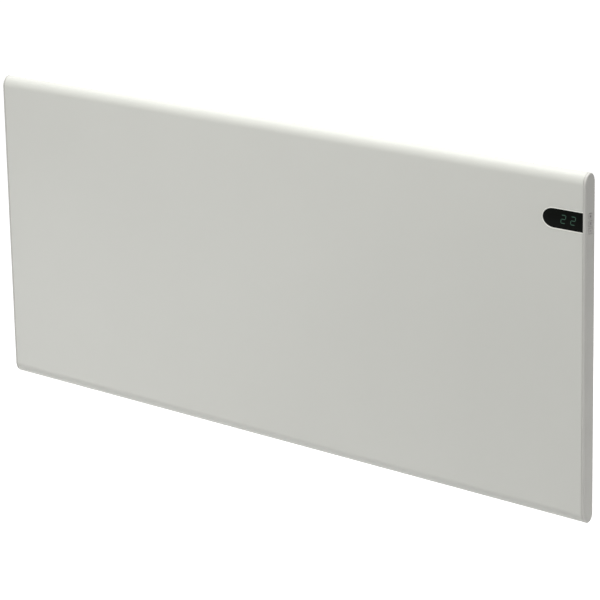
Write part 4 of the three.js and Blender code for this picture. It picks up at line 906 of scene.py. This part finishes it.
def cover_tools():
    """What is cut from the cover: air slots, screw and cord holes, hook and catch openings."""
    tools = [
        slot_tool(group + step, side)
        for side in (-1, 1)
        for group in SLOT_GROUPS
        for step in SLOT_STEPS
    ]
    through_flange = (PANEL_BACK - MM, FLANGE_BACK + MM)
    through_back = (TRAY_PLANE - 4 * MM, TRAY_PLANE + MM)
    holes = [(name, 2.2 * MM, through_flange, 24) for name in COVER_SCREWS]
    holes += [(f"holder_screw_{i}", 2 * MM, through_back, 24) for i in (1, 2)]
    holes.append(("cable_gland", 8 * MM, through_back, 48))
    for name, radius, span, steps in holes:
        middle = middle_of(name)
        tools.append(round_tool(middle.x, middle.z, radius, span, steps))
    openings = [
        (x, opening)
        for arm in ARMS
        for x, opening in (
            (arm - HOOK_REACH, HOOK_OPENING),
            (arm + HOOK_REACH, HOOK_OPENING),
            (arm, CATCH_OPENING),
        )
    ]
    for x, (half, bottom, top) in openings:
        low, high = (x - half, through_back[0], bottom), (x + half, through_back[1], top)
        tools.append(box_between(low, high))
    return tools


def stiffening_bead(z):
    """A bead pressed out of the tray's back."""
    left, right, half = -170 * MM, 130 * MM, 6 * MM
    span = (TRAY_PLANE - 0.5 * MM, TRAY_PLANE + 1.2 * MM)
    bead = plate((left, z - half), (right, z + half), half - SHORT, span, 12)
    return rim_rounded(bead, 1, 1, 1.1 * MM, 5)


def make_rear_cover():
    sheet = thickened(pressed_tray())
    sheet = fused(sheet, stiffening_bead(-30 * MM), stiffening_bead(45 * MM))
    piece("pressed_cover", cut(sheet, *cover_tools()), PAINT, "heater", "paint", "rear_cover")


make_rear_cover()

# ---------------------------------------------------------------- screws, rivets, gland, springs


def dome(radius, height, start, steps=6):
    """Points of a domed head's outside, from its rim to its middle."""
    return [
        (radius * math.cos(a), start + height * math.sin(a))
        for a in (math.pi / 2 * i / steps for i in range(steps + 1))
    ]


def cross_recess(size, top):
    """The tool for a cross recess, its arms narrower at the bottom."""
    arms = []
    for turn in (0, math.pi / 2):
        half = 0.17 * size
        arm = box_between((-size, top - 1.1 * size, -half), (size, top + size, half))
        low = [v for v in arm.verts if v.co.y < top]
        bmesh.ops.scale(arm, vec=(0.45, 1, 0.8), verts=low)
        arms.append(spun(arm, turn, "Y"))
    return fused(*arms)


SCREW_SIZES = {  # mm: radius, length, head's radius, head's height
    "cover_screw": (1.9, 7, 4, 2),
    "cap_screw": (1.5, 9, 3, 1.8),
    "holder_screw": (1.7, 4, 3.4, 1.8),
    "board_screw": (1.2, 5, 2.4, 1.4),
}


def make_screw(name):
    """A pan-head screw with a cross recess, its seat where the node's head begins."""
    radius, length, head_radius, head = (size * MM for size in SCREW_SIZES[name[:-2]])
    middle, back = middle_of(name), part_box(name)[1].y
    rim = 0.35 * head
    profile = [(0, -length), (0.4 * radius, -length), (radius, -length + radius), (radius, 0)]
    profile += [(head_radius - 0.1 * MM, 0), (head_radius, 0.1 * MM)]
    profile += dome(head_radius, head - rim, rim)
    profile[-1] = (0, head)
    bm = cut(turned(profile, "y", 32), cross_recess(0.55 * head_radius, head))
    moved(bm, (middle.x, back - head, middle.z))
    piece(name + "_cross_head", bm, SCREW_STEEL, "heater", "screw_steel", name)


def make_rivet(name):
    low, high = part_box(name)
    middle = (low + high) / 2
    half = (high.x - low.x) / 2
    grip = half - 1.2 * MM
    shank, head_radius, rim = 2 * MM, 3.6 * MM, 0.2 * MM
    head = dome(head_radius, half - grip - rim, grip + rim)
    head[-1] = (0, half)
    outer = [(shank, 0), (shank, grip), (head_radius, grip)] + head
    profile = [(r, -h) for r, h in reversed(outer)] + outer[1:]
    bm = moved(turned(profile, "x", 28), middle)
    piece(name + "_domed", bm, SCREW_STEEL, "heater", "screw_steel", name)


def make_gland():
    """Dome-nut cable gland: a hexagon on the cover, a fluted nut and a bore for the cord."""
    low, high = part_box("cable_gland")
    middle = middle_of("cable_gland")
    shoulder = TRAY_PLANE + SEAM
    bore, neck, flange = 3.8 * MM, 7.7 * MM, 10.5 * MM
    profile = [(bore, low.y), (neck, low.y), (neck, shoulder), (flange, shoulder)]
    profile += [(flange, shoulder + 4 * MM), (neck + MM, shoulder + 4.6 * MM)]
    profile += [(neck + MM, high.y - 3.2 * MM), (neck + 0.6 * MM, high.y - 1.4 * MM)]
    profile += [(neck - 0.4 * MM, high.y - 0.4 * MM), (neck - 1.4 * MM, high.y)]
    profile += [(bore + 0.5 * MM, high.y), (bore, high.y - 0.5 * MM)]
    flats = []
    for i in range(6):
        low_corner = (9.1 * MM, shoulder - MM, -8 * MM)
        flat = box_between(low_corner, (14 * MM, shoulder + 4.2 * MM, 8 * MM))
        flats.append(spun(flat, i * math.tau / 6, "Y"))
    start = shoulder + 5 * MM
    flutes = []
    for i in range(18):
        flute = turned([(0, start), (MM, start), (MM, high.y), (0, high.y)], "y", 12)
        moved(flute, (neck + 1.5 * MM, 0, 0))
        flutes.append(spun(flute, (i + 0.5) * math.tau / 18, "Y"))
    whole = cut(cut(turned(profile, "y", 72), *flats), *flutes)
    moved(whole, (middle.x, 0, middle.z))
    whole = softened(whole, 0.2 * MM)
    piece("dome_nut_gland", whole, BLACK, "heater", "black_plastic", "cable_gland")


def make_spring(side):
    """A wound spring with closed end turns."""
    node = f"catch_spring_{side}"
    low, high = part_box(node)
    middle = middle_of(node)
    wire, radius = 0.6 * MM, 4.6 * MM
    height = high.z - low.z - 2 * wire
    closed = 1.25 * wire
    bm = bmesh.new()
    bmesh.ops.create_circle(bm, segments=12, radius=wire, cap_ends=False)
    moved(spun(bm, math.pi / 2, "X"), (radius, 0, 0))
    geom = bm.verts[:] + bm.edges[:]
    ends = [bm.edges[:]]
    for turns, rise in ((1, closed), (4.5, height - 2 * closed), (1, closed)):
        steps = int(24 * turns)
        ret = bmesh.ops.spin(
            bm,
            geom=geom,
            cent=(0, 0, 0),
            axis=(0, 0, 1),
            dvec=(0, 0, rise / steps),
            angle=math.tau * turns,
            steps=steps,
            use_merge=False,
        )
        geom = ret["geom_last"]
    ends.append([g for g in geom if isinstance(g, bmesh.types.BMEdge)])
    for edges in ends:
        bmesh.ops.contextual_create(bm, geom=edges)
    tidy(bm, 0.001 * MM)
    moved(bm, (middle.x, middle.y, low.z + wire))
    spring = piece(node + "_wire", bm, WIRE, "heater", "screw_steel", node)
    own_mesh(spring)


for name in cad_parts:
    if name[:-2] in SCREW_SIZES:
        make_screw(name)
    elif name.startswith("rivet"):
        make_rivet(name)
make_gland()
make_spring("left")
make_spring("right")

# ---------------------------------------------------------------- bracket and the pieces inside


FOLD = 1.4 * MM


def folded_sheet(name, is_fold):
    """A bracket sheet with round folds and eased edges, nowhere past the wall's plane."""
    bm = merged_copy(name)
    folds = [e for e in sharp_edges(bm) if is_fold(*(v.co for v in e.verts))]
    rounded(bm, folds, FOLD, 5)
    softened(bm, 0.15 * MM, 1)
    for vert in bm.verts:
        vert.co.y = min(vert.co.y, 0)
    piece(name + "_folded", bm, ZINC, "heater", "zinc_steel", name)


def make_bracket():
    near = 0.01 * MM
    for side, x in zip(("left", "right"), ARMS):

        def arm_fold(a, b, x=x):
            return all(abs(abs(p.x - x) - 18 * MM) < near and p.y > -near for p in (a, b))

        folded_sheet(f"bracket_arm_{side}", arm_fold)

    def rail_fold(a, b):
        return all(abs(abs(p.z) - 20 * MM) < near and p.y > -near for p in (a, b))

    folded_sheet("wall_rail", rail_fold)


INSIDE = (  # finish, slot, rounding in mm, nodes
    (ZINC, "zinc_steel", 0.25, ("element_holder_left", "element_holder_right", "element_rod")),
    (ALUMINIUM, "aluminium", 0.15, ("heating_fins", "heat_shield")),
    (CERAMIC, "ceramic", 0.4, ("ceramic_bush_left", "ceramic_bush_right", "terminal_block")),
    (BOARD, "circuit_board", 0.15, ("control_board", "key_board", "power_board")),
    (BLACK, "black_plastic", 0.35, ("display_module", "display_carrier", "overheat_cutout")),
    (BLACK, "black_plastic", 0.4, ("power_carrier", "temperature_sensor", "gland_nut")),
)


def make_lead(name, material):
    """A sleeved lead, its faceted tube rounded."""
    bm = welded_copy(name)
    bmesh.ops.join_triangles(
        bm,
        faces=bm.faces,
        angle_face_threshold=math.radians(20),
        angle_shape_threshold=math.radians(80),
    )
    made = piece(name + "_sleeve", bm, material, "heater", "lead_sleeve", name)
    rounding = made.modifiers.new("rounding", "SUBSURF")
    rounding.levels = rounding.render_levels = 2


make_bracket()
for side in ("left", "right"):
    softened_node(f"catch_{side}", BLACK, "black_plastic", 0.4 * MM, body=f"catch_{side}")
for material, slot, width, names in INSIDE:
    for name in names:
        softened_node(name, material, slot, width * MM)
make_lead("lead_live", BROWN_SLEEVE)
make_lead("lead_neutral", BLUE_SLEEVE)
make_lead("sensor_lead", DARK_SLEEVE)
make_lead("control_lead", DARK_SLEEVE)

# ---------------------------------------------------------------- floor, lights and camera

FLOOR_HEIGHT = -0.78


def mixed(tree, plain, seen):
    """One shader for light, another for what is seen directly, mirrored or through a window."""
    path = tree.nodes.new("ShaderNodeLightPath")
    share = path.outputs["Is Camera Ray"]
    for kind in ("Is Glossy Ray", "Is Transmission Ray"):
        either = tree.nodes.new("ShaderNodeMath")
        either.operation = "MAXIMUM"
        tree.links.new(share, either.inputs[0])
        tree.links.new(path.outputs[kind], either.inputs[1])
        share = either.outputs[0]
    mix = tree.nodes.new("ShaderNodeMixShader")
    for entry, start in enumerate((share, plain.outputs[0], seen.outputs[0])):
        tree.links.new(start, mix.inputs[entry])
    return mix


def make_floor():
    """A pale floor that glows more the farther it is from the object, so it ends in white."""
    bm = bmesh.new()
    bmesh.ops.create_grid(bm, x_segments=1, y_segments=1, size=15)
    mesh = mesh_of(moved(bm, (0, 0, FLOOR_HEIGHT)), "floor")
    floor = added("floor", mesh)
    material = bpy.data.materials.new("pale floor")
    material.use_nodes = True
    tree = material.node_tree
    tree.nodes.remove(tree.nodes["Principled BSDF"])
    diffuse = tree.nodes.new("ShaderNodeBsdfDiffuse")
    diffuse.inputs["Color"].default_value = (0.8, 0.8, 0.8, 1)
    place = tree.nodes.new("ShaderNodeTexCoord")
    distance = tree.nodes.new("ShaderNodeVectorMath")
    distance.operation = "LENGTH"
    strength = tree.nodes.new("ShaderNodeMapRange")
    for name, value in (("From Min", 0.9), ("From Max", 1.8), ("To Min", 0.4), ("To Max", 0.9)):
        strength.inputs[name].default_value = value
    glow = tree.nodes.new("ShaderNodeEmission")
    dark = tree.nodes.new("ShaderNodeEmission")
    dark.inputs["Strength"].default_value = 0
    add = tree.nodes.new("ShaderNodeAddShader")
    links = tree.links
    links.new(place.outputs["Object"], distance.inputs[0])
    links.new(distance.outputs["Value"], strength.inputs["Value"])
    links.new(strength.outputs["Result"], glow.inputs["Strength"])
    links.new(diffuse.outputs[0], add.inputs[0])
    links.new(mixed(tree, dark, glow).outputs[0], add.inputs[1])
    links.new(add.outputs[0], tree.nodes["Material Output"].inputs["Surface"])
    mesh.materials.append(material)


def make_world(level):
    """Plain white light at a level, and a white background."""
    world = bpy.data.worlds.new("studio")
    bpy.context.scene.world = world
    world.use_nodes = True
    tree = world.node_tree
    output = next(n for n in tree.nodes if n.type == "OUTPUT_WORLD")
    lit = next(n for n in tree.nodes if n.type == "BACKGROUND")
    white = tree.nodes.new("ShaderNodeBackground")
    for shader, strength in ((lit, level), (white, 1)):
        shader.inputs["Color"].default_value = (1, 1, 1, 1)
        shader.inputs["Strength"].default_value = strength
    tree.links.new(mixed(tree, lit, white).outputs[0], output.inputs["Surface"])


def make_lamp(name, place, target, size, power):
    data = bpy.data.lights.new(name, "AREA")
    data.shape = "DISK"
    data.size = size
    data.energy = power
    lamp = added(name, data)
    lamp.location = place
    lamp.rotation_mode = "QUATERNION"
    lamp.rotation_quaternion = (Vector(target) - Vector(place)).to_track_quat("-Z", "Y")


def make_camera():
    data = bpy.data.cameras.new("camera")
    data.sensor_width = 36
    data.lens = 160.0644
    data.shift_y = -0.15
    data.clip_start, data.clip_end = 0.05, 60
    camera = added("camera", data)
    right = (0.75074518, 0.66030206, -0.01956705)
    up = (-0.1463871, 0.1951761, 0.96978199)
    back = (0.64416806, -0.72519479, 0.24318722)
    turn = Matrix((right, up, back)).transposed().to_4x4()
    camera.matrix_world = Matrix.Translation((1.92302, -2.19673, 0.79973)) @ turn
    bpy.context.scene.camera = camera


make_floor()
make_world(0.2)
make_lamp("overhead", (0.2, -0.35, 2.4), (0, 0, 0.1), 1.6, 36.0)
make_lamp("high front", (-0.1, -0.85, 2.3), (0, 0, 0.1), 0.7, 47.7)
make_lamp("low left", (-1.9, -1.5, -0.66), (0, 0, 0), 0.5, 5.6)
make_lamp("low right", (1.7, -0.25, -0.62), (0.43, -0.07, 0), 0.6, 6.6)
make_lamp("below", (-0.2, -0.55, -0.72), (0, -0.08, -0.15), 0.7, 1.5)
make_camera()
bpy.context.scene.view_settings.view_transform = "Standard"
